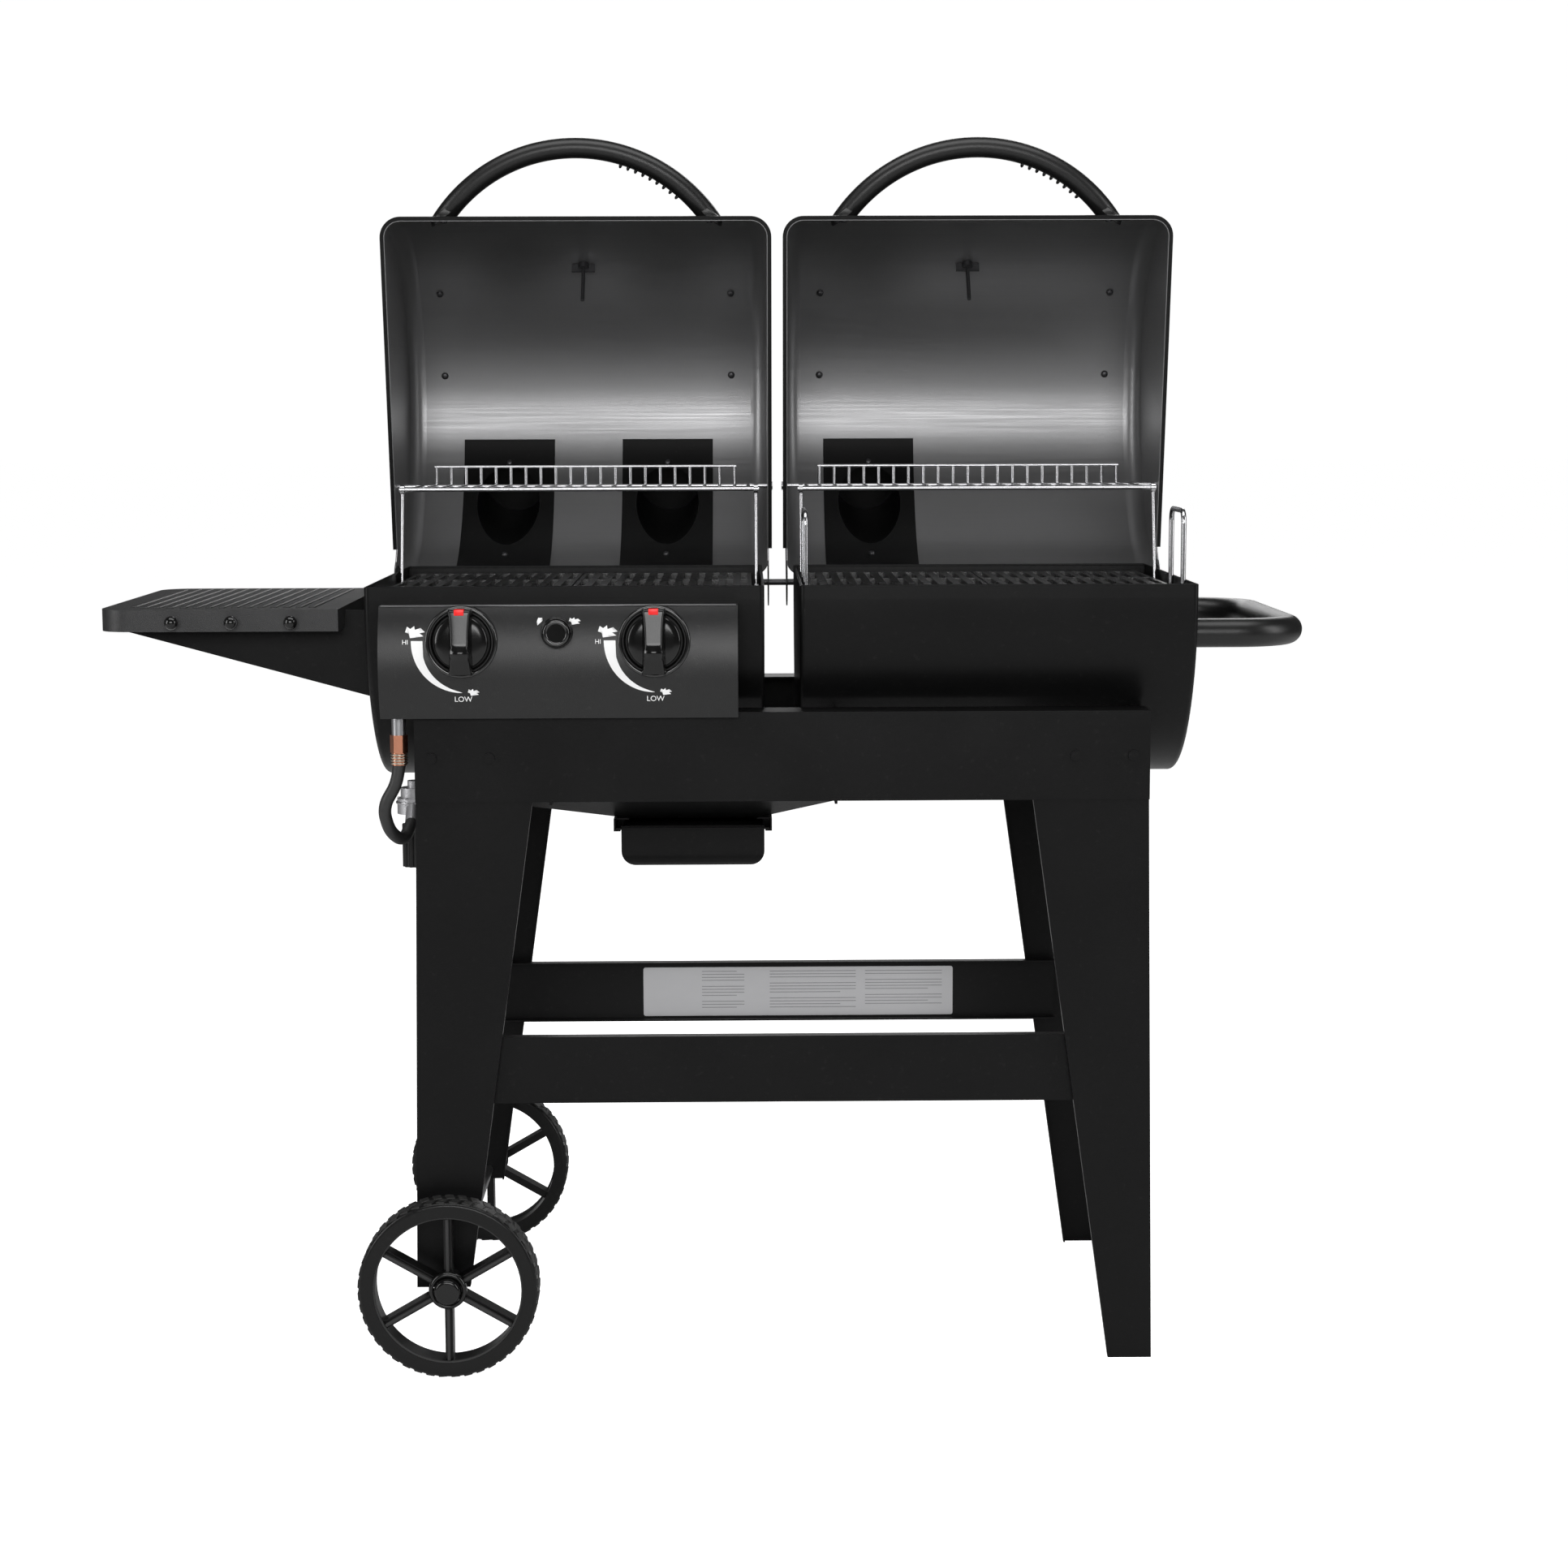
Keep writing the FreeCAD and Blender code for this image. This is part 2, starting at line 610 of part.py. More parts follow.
def make_hinge():
    reach = LID_OUT + 9
    bar = rod((-reach, HINGE_Y, HINGE_Z), AXIS_X, HINGE_R, 2 * reach)
    heads = [rod((-reach - 3, HINGE_Y, HINGE_Z), AXIS_X, 8.0, 5.0),
             rod((reach - 2, HINGE_Y, HINGE_Z), AXIS_X, 8.0, 5.0)]
    save("hinge_rod", joined([bar] + heads))
    plates = []
    for x in (-455.0, -35.0, 32.0, 452.0):
        arm = prism([(x, 210, 846), (x, 210, 872), (x, HINGE_Y, 878), (x, HINGE_Y + 8, 868),
                     (x, HINGE_Y, 862)], (3, 0, 0))
        boss = rod((x, HINGE_Y, HINGE_Z), AXIS_X, 8.2, 3.0)
        plate = joined([arm, boss]).cut(rod((x - 1, 0, TUB_AXIS_Z), AXIS_X, TUB_R, 6))
        plates.append(plate.cut(rod((x - 1, HINGE_Y, HINGE_Z), AXIS_X, HINGE_R, 6)))
    save("hinge_brackets", Part.makeCompound(plates))


# ---------------------------------------------------------------- gas side


def panel_face(inset):
    """Outline of the control panel's side, shrunk by inset."""
    top = PANEL_TOP - inset
    low = PANEL_BOTTOM + inset
    front = V(0, -247 + inset, top)
    bulge = V(0, -266 + inset, 812)
    foot = V(0, -252 + inset, low)
    back = -221.0
    edges = [Part.LineSegment(V(0, back, top), front).toShape(), Part.Arc(front, bulge, foot).toShape(),
             Part.LineSegment(foot, V(0, back, low)).toShape(),
             Part.LineSegment(V(0, back, low), V(0, back, top)).toShape()]
    return Part.Face(Part.Wire(edges))


def make_panel():
    x0, x1 = PANEL_X
    outer = panel_face(0).extrude(V(x1 - x0, 0, 0))
    outer.translate(V(x0, 0, 0))
    inner = panel_face(SHEET).extrude(V(x1 - x0 - 2 * SHEET, 0, 0))
    inner.translate(V(x0 + SHEET, 0, 0))
    cuts = [rod((x, -280, KNOB_Z), AXIS_Y, BEZEL_R, 40) for x in KNOB_X]
    cuts.append(rod((IGNITER_X, -280, IGNITER_Z), AXIS_Y, 15.3, 40))
    cuts.append(rod((INLET_X, MANIFOLD_Y, 740), AXIS_Z, 10.5, 20))
    lap = -FRAME_Y - LEG_SHEET - PANEL_GAP
    cuts.append(box(x0 - 1, x1 + 1, lap, -200, PANEL_BOTTOM - 1, APRON_TOP + PANEL_GAP))
    shell = outer.cut(inner)
    save("control_panel", shell.cut(Part.makeCompound(cuts)))
    bezels = []
    for x in KNOB_X:
        dish = rod((x, -268, KNOB_Z), AXIS_Y, BEZEL_R, 12)
        dish = dish.cut(rod((x, -269, KNOB_Z), AXIS_Y, 34.0, 7))
        bezels.append(dish.cut(rod((x, -270, KNOB_Z), AXIS_Y, 4.5, 20)))
    save("knob_bezels", Part.makeCompound(bezels))


def knob(x):
    """Control knob: a round skirt, a bar grip and the stub of its stem."""
    skirt = rod((x, -272, KNOB_Z), AXIS_Y, 30.0, 9)
    grip = box(x - 14, x + 14, -293, -271, KNOB_Z - 37, KNOB_Z + 37)
    grip = grip.makeFillet(6, [e for e in grip.Edges if e.BoundBox.YLength > 10])
    stub = rod((x, -264, KNOB_Z), AXIS_Y, 4.0, 12)
    return joined([skirt, grip, stub])


def make_gas_controls():
    save("left_knob", knob(KNOB_X[0]))
    save("right_knob", knob(KNOB_X[1]))
    button = rod((IGNITER_X, -277, IGNITER_Z), AXIS_Y, 15.0, 24)
    save("igniter_button", button)
    rail = rod((INLET_X, MANIFOLD_Y, KNOB_Z), AXIS_X, MANIFOLD_R, KNOB_X[1] + 20 - INLET_X)
    drop = rod((INLET_X, MANIFOLD_Y, 728), AXIS_Z, MANIFOLD_R, KNOB_Z - 728)
    elbow = Part.makeSphere(MANIFOLD_R, V(INLET_X, MANIFOLD_Y, KNOB_Z))
    blocks = [box(x - 12, x + 12, MANIFOLD_Y - 10, MANIFOLD_Y + 9.5, KNOB_Z - 12, KNOB_Z + 12)
              for x in KNOB_X]
    save("gas_manifold", joined([rail, drop, elbow] + blocks))
    burners = []
    plates = []
    for x in KNOB_X:
        tube = rod((x, -222, KNOB_Z), AXIS_Y, BURNER_R, 382)
        ports = [box(x - 16, x + 16, y - 1, y + 1, KNOB_Z + 3, KNOB_Z + 5) for y in range(-150, 150, 20)]
        tube = tube.cut(rod((x, -223, KNOB_Z), AXIS_Y, BURNER_R - SHEET, 370))
        burners.append(tube.cut(Part.makeCompound(ports)))
        tent = prism([(x - 55, -180, 851), (x, -180, 868), (x + 55, -180, 851), (x + 55, -180, 849),
                      (x, -180, 866), (x - 55, -180, 849)], (0, 350, 0))
        feet = [box(x + s - 1, x + s + 1, -180, 170, 790, 850) for s in (-54, 54)]
        plates.append(joined([tent] + feet))
    save("burner_tubes", Part.makeCompound(burners))
    save("heat_plates", Part.makeCompound(plates))


def make_gas_line():
    """Inlet nut and ferrule, hose, and the regulator with its handwheel."""
    nut = Part.Face(Part.makePolygon([V(INLET_X + 10 * math.cos(math.radians(60 * i)),
                                        MANIFOLD_Y + 10 * math.sin(math.radians(60 * i)), 708)
                                      for i in range(7)])).extrude(V(0, 0, 20))
    ferrule = rod((INLET_X, MANIFOLD_Y, 694), AXIS_Z, 8.6, 14)
    reg_y = -150.0
    reg_x = -425.0
    body = rod((reg_x, reg_y, 628), AXIS_Z, 20.0, 18)
    dome = rod((reg_x, reg_y, 646), AXIS_Z, 16.0, 12)
    vent = rod((reg_x, reg_y, 658), AXIS_Z, 8.0, 8)
    neck = rod((reg_x, reg_y - 12, 640), V(0, -1, -1), 8.0, 25.4)
    tail = rod((reg_x, reg_y, 616), AXIS_Z, 7.5, 13)
    nipple = rod((reg_x, reg_y, 585), AXIS_Z, 5.0, 33)
    regulator = joined([body, dome, vent, neck, tail, nipple])
    save("gas_fittings", Part.makeCompound([nut, ferrule]))
    save("gas_regulator", regulator)
    wheel = rod((reg_x, reg_y, 566), AXIS_Z, 15.0, 49.6)
    flutes = [rod((reg_x + 16.5 * math.cos(a), reg_y + 16.5 * math.sin(a), 565), AXIS_Z, 3.0, 52)
              for a in [math.radians(30 * i) for i in range(12)]]
    bore = rod((reg_x, reg_y, 580), AXIS_Z, 5.0 + FIT, 40)
    save("cylinder_handwheel", wheel.cut(Part.makeCompound(flutes + [bore])))
    hook = box(reg_x + 16.4, -399.5, reg_y - 8, reg_y + 8, 652, 654)
    strap = box(-401.5, -399.5, reg_y - 8, reg_y + 8, 652, 700)
    save("regulator_hook", joined([hook, strap]))
    route = [(INLET_X, MANIFOLD_Y, 694), (INLET_X - 4, MANIFOLD_Y, 672), (INLET_X - 20, MANIFOLD_Y + 2, 645),
             (INLET_X - 14, MANIFOLD_Y + 14, 616), (INLET_X - 1, MANIFOLD_Y + 32, 602),
             (reg_x, reg_y - 30, 622)]
    radii = cord_radii(route)
    print("hose radii", [round(r, 1) for r in radii[1:-1]])
    save("gas_hose", pipe(route, radii, 7.2))


def cord_radii(route):
    """Largest tangent arc that each point's two runs allow."""
    pts = [V(*p) for p in route]
    radii = [0.0]
    for a, b, c in zip(pts, pts[1:], pts[2:]):
        turn = (b - a).getAngle(c - b)
        shorter = min((b - a).Length, (c - b).Length)
        radii.append(0.45 * shorter / math.tan(turn / 2))
    return radii + [0.0]


# ---------------------------------------------------------------- shelf and running gear


def make_shelf():
    x0, x1 = SHELF_X
    y = SHELF_Y
    low = SHELF_TOP - SHELF_LIP

    def slab(inset, z0, z1, radius):
        block = box(x0 + inset, x1 - inset, -y + inset, y - inset, z0, z1)
        corners = [e for e in block.Edges if e.BoundBox.ZLength > 5 and e.BoundBox.XMin < x0 + 20]
        return block.makeFillet(radius, corners)

    shell = slab(0, low, SHELF_TOP, 34).cut(slab(SHEET, low - 1, SHELF_TOP - SHEET, 32.4))
    save("side_shelf", shell)
    gussets = []
    for gy in (-150.0, 150.0):
        plate = prism([(x0 + 12, gy, low), (x1, gy, low), (x1 + 2, gy, SHELF_TOP - 4),
                       (-TUB_OUT, gy, SHELF_TOP - 4), (-TUB_OUT, gy, 763)], (0, SHEET, 0))
        foot = box(-TUB_OUT - SHEET, -TUB_OUT, gy, gy + 16, 768, SHELF_TOP - 6)
        gussets.append(joined([plate, foot]))
    save("shelf_brackets", Part.makeCompound(gussets))
    hooks = []
    for x in HOOK_X:
        post = rod((x, -y, low + 11), V(0, -1, 0), 4.0, 12)
        peg = rod((x, -y - 12, low + 11), V(0, -1, 0), 6.5, 4)
        hooks.append(joined([post, peg]))
    save("tool_hooks", Part.makeCompound(hooks))


def wheel():
    """Front wheel: rim, spokes and a hub bored for the axle."""
    y0 = -WHEEL_Y - WHEEL_W / 2
    rim = rod((WHEEL_X, y0, WHEEL_R), AXIS_Y, WHEEL_R, WHEEL_W)
    rim = rim.makeFillet(5, [e for e in rim.Edges if e.BoundBox.YLength < 0.01])
    rim = rim.cut(rod((WHEEL_X, y0 - 1, WHEEL_R), AXIS_Y, WHEEL_R - 17, WHEEL_W + 2))
    hub = rod((WHEEL_X, y0 + 2, WHEEL_R), AXIS_Y, 15.0, WHEEL_W - 2)
    arms = []
    for i in range(SPOKES):
        arm = box(WHEEL_X + 10, WHEEL_X + WHEEL_R - 14, y0 + 8, y0 + WHEEL_W - 8, WHEEL_R - 4.5, WHEEL_R + 4.5)
        arm.rotate(V(WHEEL_X, 0, WHEEL_R), AXIS_Y, 90 + i * 360.0 / SPOKES)
        arms.append(arm)
    return joined([rim, hub] + arms).cut(rod((WHEEL_X, -400, WHEEL_R), AXIS_Y, AXLE_R + FIT, 800))


def make_running_gear():
    shape = wheel()
    save("front_wheel", shape)
    save("rear_wheel", mirrored_y(shape))
    reach = WHEEL_Y + WHEEL_W / 2 + 4
    axle = rod((WHEEL_X, -reach, WHEEL_R), AXIS_Y, AXLE_R, 2 * reach)
    caps = [rod((WHEEL_X, -reach - 5, WHEEL_R), AXIS_Y, 13.0, 8.0),
            rod((WHEEL_X, reach - 3, WHEEL_R), AXIS_Y, 13.0, 8.0)]
    save("wheel_axle", joined([axle] + caps))


# ---------------------------------------------------------------- grease tray and cup


def make_grease():
    def frame_wire(x0, x1, y, z):
        pts = [V(x0, -y, z), V(x1, -y, z), V(x1, y, z), V(x0, y, z), V(x0, -y, z)]
        return Part.makePolygon(pts)

    outer = Part.makeLoft([frame_wire(PAN_X[0], PAN_X[1], PAN_Y, PAN_TOP),
                           frame_wire(-182, -28, 58, PAN_FLOOR)], True, True)
    inner = Part.makeLoft([frame_wire(PAN_X[0] + 2, PAN_X[1] - 2, PAN_Y - 2, PAN_TOP + 0.1),
                           frame_wire(-180, -30, 56, PAN_FLOOR - 0.1)], True, True)
    save("grease_pan", outer.cut(inner))
    rails = []
    for x, hook in ((CUP_X[0], -1), (CUP_X[1], 1)):
        wide = x + hook * 9
        back = wide - hook * 2
        inner_x = x + hook * 1
        seat_z = CUP_Z[1] - 6.5
        seat = box(min(wide, inner_x), max(wide, inner_x), -CUP_Y, CUP_Y, seat_z, seat_z + 2)
        wall = box(min(wide, back), max(wide, back), -CUP_Y, CUP_Y, seat_z, PAN_FLOOR)
        reach = x - hook * 9
        top = box(min(wide, reach), max(wide, reach), -58, 58, PAN_FLOOR - 2, PAN_FLOOR)
        rails.append(joined([seat, wall, top]))
    save("cup_rails", Part.makeCompound(rails))
    block = box(CUP_X[0], CUP_X[1], -CUP_Y, CUP_Y, *CUP_Z)
    block = block.makeFillet(20, [e for e in block.Edges if e.CenterOfMass.z < CUP_Z[0] + 1])
    core = box(CUP_X[0] + 2, CUP_X[1] - 2, -CUP_Y + 2, CUP_Y - 2, CUP_Z[0] + 2, CUP_Z[1] + 20)
    core = core.makeFillet(18, [e for e in core.Edges if e.CenterOfMass.z < CUP_Z[0] + 3])
    rim = box(CUP_X[0] - 6, CUP_X[1] + 6, -CUP_Y - 4, CUP_Y, CUP_Z[1] - 4, CUP_Z[1] - 2)
    save("grease_cup", joined([block, rim]).cut(core))


make_legs()
make_frame()
make_bolts()
make_tubs()
make_ledges()
make_grates()
make_fire_grate()
make_damper()
make_cart_handle()
make_lids()
make_stacks()
make_racks()
make_hinge()
make_panel()
make_gas_controls()
make_gas_line()
make_shelf()
make_running_gear()
make_grease()
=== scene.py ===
import json
import math

import bmesh
import bpy
from mathutils import Matrix, Vector
from mathutils.bvhtree import BVHTree


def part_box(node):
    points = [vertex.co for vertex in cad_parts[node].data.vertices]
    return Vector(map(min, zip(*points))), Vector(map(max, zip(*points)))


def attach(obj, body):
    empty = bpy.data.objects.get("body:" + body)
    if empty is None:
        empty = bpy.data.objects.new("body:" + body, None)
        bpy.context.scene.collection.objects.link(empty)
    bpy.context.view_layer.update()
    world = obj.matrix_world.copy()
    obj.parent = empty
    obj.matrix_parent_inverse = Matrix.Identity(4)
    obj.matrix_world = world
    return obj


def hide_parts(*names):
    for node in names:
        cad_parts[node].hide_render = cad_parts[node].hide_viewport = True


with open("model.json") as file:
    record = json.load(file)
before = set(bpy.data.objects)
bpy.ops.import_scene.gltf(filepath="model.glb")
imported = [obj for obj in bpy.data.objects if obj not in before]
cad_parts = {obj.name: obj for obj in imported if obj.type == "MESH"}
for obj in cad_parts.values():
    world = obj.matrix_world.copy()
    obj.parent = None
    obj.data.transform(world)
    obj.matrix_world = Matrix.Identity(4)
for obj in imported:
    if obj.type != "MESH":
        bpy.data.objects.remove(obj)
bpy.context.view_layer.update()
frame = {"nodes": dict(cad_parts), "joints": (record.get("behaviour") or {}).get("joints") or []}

bl_info = {
    "name": "Twin Barrel Grill Finish",
    "version": (1, 0, 0),
    "blender": (4, 5, 0),
    "location": "View3D > Sidebar > Grill",
    "description": "Finishes a twin-barrel cart grill: paint, print, treads, gauges and fittings",
    "category": "Object",
}

# Closed lids and their handles as the CAD has them, then print and paint, in metres and degrees.
LID_AXIS_Z = 0.880
LID_RADIUS = 0.226
LID_LINING = 0.2228
DIAL_RADIUS = 0.241
DIAL_ANGLE = 131.0
HANDLE_ARC = 0.203
HANDLE_TUBE = 0.0125
HANDLE_REACH = 0.309
HANDLE_HEIGHT = 0.915
PRINT_THICKNESS = 0.00012
SHARP_ANGLE = 0.6
GRAIN_DEPTH = 0.0006
CAMERA_WHITE = 0.95
JOINTS = {joint["name"]: joint for joint in frame["joints"]}
SIDES = ("gas", "charcoal")


def middle(node):
    """Centre of a node's box at rest."""
    low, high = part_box(node)
    return (Vector(low) + Vector(high)) / 2


def lid_opening():
    """Matrix that carries a point of a closed lid to the open rest pose."""
    hinge = JOINTS["gas_lid_hinge"]
    pivot = Vector((0, hinge["pos_m"][1], hinge["pos_m"][2]))
    swing = Matrix.Rotation(-math.radians(hinge["range_deg"][1]), 4, "X")
    return Matrix.Translation(pivot) @ swing @ Matrix.Translation(-pivot)


# ------------------------------------------------------------ settings


class GrillSizes(bpy.types.PropertyGroup):
    tread_height: bpy.props.FloatProperty(
        name="Tread height", description="How far the tyre blocks stand out", default=0.0008,
        unit="LENGTH")
    tread_blocks: bpy.props.IntProperty(
        name="Tread blocks", description="Blocks in one row round a tyre", default=44)
    shelf_ribs: bpy.props.IntProperty(
        name="Shelf ribs", description="Raised ribs across the side shelf", default=15)
    rib_height: bpy.props.FloatProperty(
        name="Rib height", description="Height of a shelf rib", default=0.0016, unit="LENGTH")
    print_lift: bpy.props.FloatProperty(
        name="Print lift", description="Gap between printed marks and the panel", default=0.0003,
        unit="LENGTH")
    grip_ribs: bpy.props.IntProperty(
        name="Grip ribs", description="Finger ribs under each lid handle", default=9)


class GrillColours(bpy.types.PropertyGroup):
    paint: bpy.props.FloatVectorProperty(
        name="Paint", description="Black barrel and cart paint", subtype="COLOR", size=4,
        default=(0.0030, 0.0030, 0.0031, 1))
    lid_inside: bpy.props.FloatVectorProperty(
        name="Lid inside", description="Dark sheet inside the lids", subtype="COLOR", size=4,
        default=(0.24, 0.24, 0.243, 1))
    panel: bpy.props.FloatVectorProperty(
        name="Panel paint", description="Control panel and shelf paint", subtype="COLOR", size=4,
        default=(0.0045, 0.0045, 0.0047, 1))
    marks: bpy.props.FloatVectorProperty(
        name="Printed marks", description="White print on the panel", subtype="COLOR", size=4,
        default=(0.85, 0.85, 0.85, 1))
    pointer: bpy.props.FloatVectorProperty(
        name="Pointer", description="Red pointer on each knob", subtype="COLOR", size=4,
        default=(0.8, 0.01, 0.01, 1))
    label: bpy.props.FloatVectorProperty(
        name="Rating plate", description="Blank silver plate", subtype="COLOR", size=4,
        default=(0.42, 0.42, 0.43, 1))


# ------------------------------------------------------------ materials


def new_group(name, inputs, outputs):
    """Empty node group with its sockets. Returns it, its two ends and the object coordinates."""
    tree = bpy.data.node_groups.new(name, "ShaderNodeTree")
    for in_out, sockets in (("INPUT", inputs), ("OUTPUT", outputs)):
        for label, kind in sockets:
            tree.interface.new_socket(name=label, in_out=in_out, socket_type="NodeSocket" + kind)
    coords = tree.nodes.new("ShaderNodeTexCoord").outputs["Object"]
    return tree, tree.nodes.new("NodeGroupInput"), tree.nodes.new("NodeGroupOutput"), coords


def feed(tree, value, socket):
    """Link a socket to another, or set it to a plain value."""
    if isinstance(value, bpy.types.NodeSocket):
        tree.links.new(value, socket)
    else:
        socket.default_value = value


def math_node(tree, operation, a, b=0.0):
    """Math node fed by sockets or plain values."""
    node = tree.nodes.new("ShaderNodeMath")
    node.operation = operation
    feed(tree, a, node.inputs[0])
    feed(tree, b, node.inputs[1])
    return node.outputs[0]


def mix_node(tree, kind, factor, a, b):
    """Mix of two colours or two values, fed by sockets or plain values."""
    node = tree.nodes.new("ShaderNodeMix")
    node.data_type = kind
    for label, value in (("Factor", factor), ("A", a), ("B", b)):
        feed(tree, value, node.inputs[label])
    return node.outputs["Result"]


def noise(tree, vector, scale, detail=4.0):
    """Noise texture on a vector, with a value or a socket as its scale."""
    node = tree.nodes.new("ShaderNodeTexNoise")
    node.inputs["Detail"].default_value = detail
    tree.links.new(vector, node.inputs["Vector"])
    feed(tree, scale, node.inputs["Scale"])
    return node.outputs["Fac"]


def grain_group():
    """Coating grain: broad colour drift, roughness drift and a fine pebble height."""
    name = "Coating Grain"
    if name in bpy.data.node_groups:
        return bpy.data.node_groups[name]
    tree, start, end, coords = new_group(
        name, [("Color", "Color"), ("Light Color", "Color"), ("Patch Scale", "Float"),
               ("Grain Scale", "Float"), ("Roughness", "Float"), ("Roughness Drift", "Float")],
        [("Color", "Color"), ("Roughness", "Float"), ("Height", "Float")])
    patches = noise(tree, coords, start.outputs["Patch Scale"])
    grain = noise(tree, coords, start.outputs["Grain Scale"], 2.0)
    blend = mix_node(tree, "RGBA", patches, start.outputs["Color"], start.outputs["Light Color"])
    centred = math_node(tree, "SUBTRACT", patches, 0.5)
    drift = math_node(tree, "MULTIPLY", centred, start.outputs["Roughness Drift"])
    tree.links.new(blend, end.inputs["Color"])
    tree.links.new(math_node(tree, "ADD", start.outputs["Roughness"], drift), end.inputs["Roughness"])
    tree.links.new(grain, end.inputs["Height"])
    return tree


def streak_group():
    """Fine streaks along X, as rolled or brushed sheet has."""
    name = "Rolled Streaks"
    if name in bpy.data.node_groups:
        return bpy.data.node_groups[name]
    tree, start, end, coords = new_group(name, [("Roughness", "Float"), ("Amount", "Float")],
                                         [("Roughness", "Float")])
    stretch = tree.nodes.new("ShaderNodeMapping")
    stretch.inputs["Scale"].default_value = (3.0, 240.0, 240.0)
    tree.links.new(coords, stretch.inputs["Vector"])
    streaks = noise(tree, stretch.outputs["Vector"], 2.0)
    centred = math_node(tree, "SUBTRACT", streaks, 0.5)
    spread = math_node(tree, "MULTIPLY", centred, start.outputs["Amount"])
    tree.links.new(math_node(tree, "ADD", start.outputs["Roughness"], spread), end.inputs["Roughness"])
    return tree


def dust_group():
    """Scuffs and dust: sparse pale specks over a colour."""
    name = "Dust Specks"
    if name in bpy.data.node_groups:
        return bpy.data.node_groups[name]
    tree, start, end, coords = new_group(
        name, [("Color", "Color"), ("Dust Color", "Color"), ("Scale", "Float"), ("Cover", "Float")],
        [("Color", "Color")])
    specks = noise(tree, coords, start.outputs["Scale"], 6.0)
    clean_below = 0.62
    over = math_node(tree, "SUBTRACT", specks, clean_below)
    mask = math_node(tree, "MULTIPLY", over, start.outputs["Cover"])
    clamp = tree.nodes.new("ShaderNodeClamp")
    tree.links.new(mask, clamp.inputs["Value"])
    blend = mix_node(tree, "RGBA", clamp.outputs["Result"], start.outputs["Color"],
                     start.outputs["Dust Color"])
    tree.links.new(blend, end.inputs["Color"])
    return tree


def add_group(material, group, **values):
    node = material.node_tree.nodes.new("ShaderNodeGroup")
    node.node_tree = group
    for label, value in values.items():
        node.inputs[label.replace("_", " ")].default_value = value
    return node


def coated(name, colour, roughness, drift=0.12, lighten=1.7, grain=900.0, bump=0.12, patch=9.0,
           metallic=0.0, specular=0.5, coat=0.0, dust=0.0, dust_colour=(0.12, 0.115, 0.11, 1)):
    """Painted, moulded or plated finish built on the grain and dust groups."""
    material = bpy.data.materials.new(name)
    material.use_nodes = True
    tree = material.node_tree
    shader = tree.nodes["Principled BSDF"]
    light = tuple(min(1.0, c * lighten) for c in colour[:3]) + (1,)
    base = add_group(material, grain_group(), Color=colour, Light_Color=light, Patch_Scale=patch,
                     Grain_Scale=grain, Roughness=roughness, Roughness_Drift=drift)
    colour_out = base.outputs["Color"]
    if dust:
        specks = add_group(material, dust_group(), Dust_Color=dust_colour, Scale=150.0, Cover=dust)
        tree.links.new(colour_out, specks.inputs["Color"])
        colour_out = specks.outputs["Color"]
    relief = tree.nodes.new("ShaderNodeBump")
    relief.inputs["Strength"].default_value = bump
    relief.inputs["Distance"].default_value = GRAIN_DEPTH
    tree.links.new(base.outputs["Height"], relief.inputs["Height"])
    tree.links.new(colour_out, shader.inputs["Base Color"])
    tree.links.new(base.outputs["Roughness"], shader.inputs["Roughness"])
    tree.links.new(relief.outputs["Normal"], shader.inputs["Normal"])
    shader.inputs["Metallic"].default_value = metallic
    shader.inputs["Specular IOR Level"].default_value = specular
    shader.inputs["Coat Weight"].default_value = coat
    shader.inputs["Coat Roughness"].default_value = 0.2
    return material


def length_node(tree, a, b):
    """Length of the two-part vector (a, b)."""
    squares = [math_node(tree, "MULTIPLY", part, part) for part in (a, b)]
    return math_node(tree, "SQRT", math_node(tree, "ADD", *squares))


def lid_inside_group():
    """1 deeper than half the sheet under a lid's rounded outer form, 0 on its outside."""
    name = "Lid Inside"
    if name in bpy.data.node_groups:
        return bpy.data.node_groups[name]
    inputs = ("Axis Y", "Axis Z", "Radius", "Middle X", "Half Width", "Edge", "Depth")
    tree, start, end, coords = new_group(name, [(label, "Float") for label in inputs],
                                         [("Mask", "Float")])
    split = tree.nodes.new("ShaderNodeSeparateXYZ")
    tree.links.new(coords, split.inputs["Vector"])
    edge = start.outputs["Edge"]
    y = math_node(tree, "SUBTRACT", split.outputs["Y"], start.outputs["Axis Y"])
    z = math_node(tree, "SUBTRACT", split.outputs["Z"], start.outputs["Axis Z"])
    core = math_node(tree, "SUBTRACT", start.outputs["Radius"], edge)
    past_round = math_node(tree, "SUBTRACT", length_node(tree, y, z), core)
    x = math_node(tree, "SUBTRACT", math_node(tree, "ABSOLUTE", split.outputs["X"]),
                  start.outputs["Middle X"])
    flat = math_node(tree, "SUBTRACT", start.outputs["Half Width"], edge)
    past_end = math_node(tree, "SUBTRACT", math_node(tree, "ABSOLUTE", x), flat)
    corner = length_node(tree, math_node(tree, "MAXIMUM", past_round),
                         math_node(tree, "MAXIMUM", past_end))
    inside = math_node(tree, "MINIMUM", math_node(tree, "MAXIMUM", past_round, past_end))
    reach = math_node(tree, "ADD", corner, inside)
    under = math_node(tree, "SUBTRACT", edge, reach)
    tree.links.new(math_node(tree, "GREATER_THAN", under, start.outputs["Depth"]), end.inputs["Mask"])
    return tree


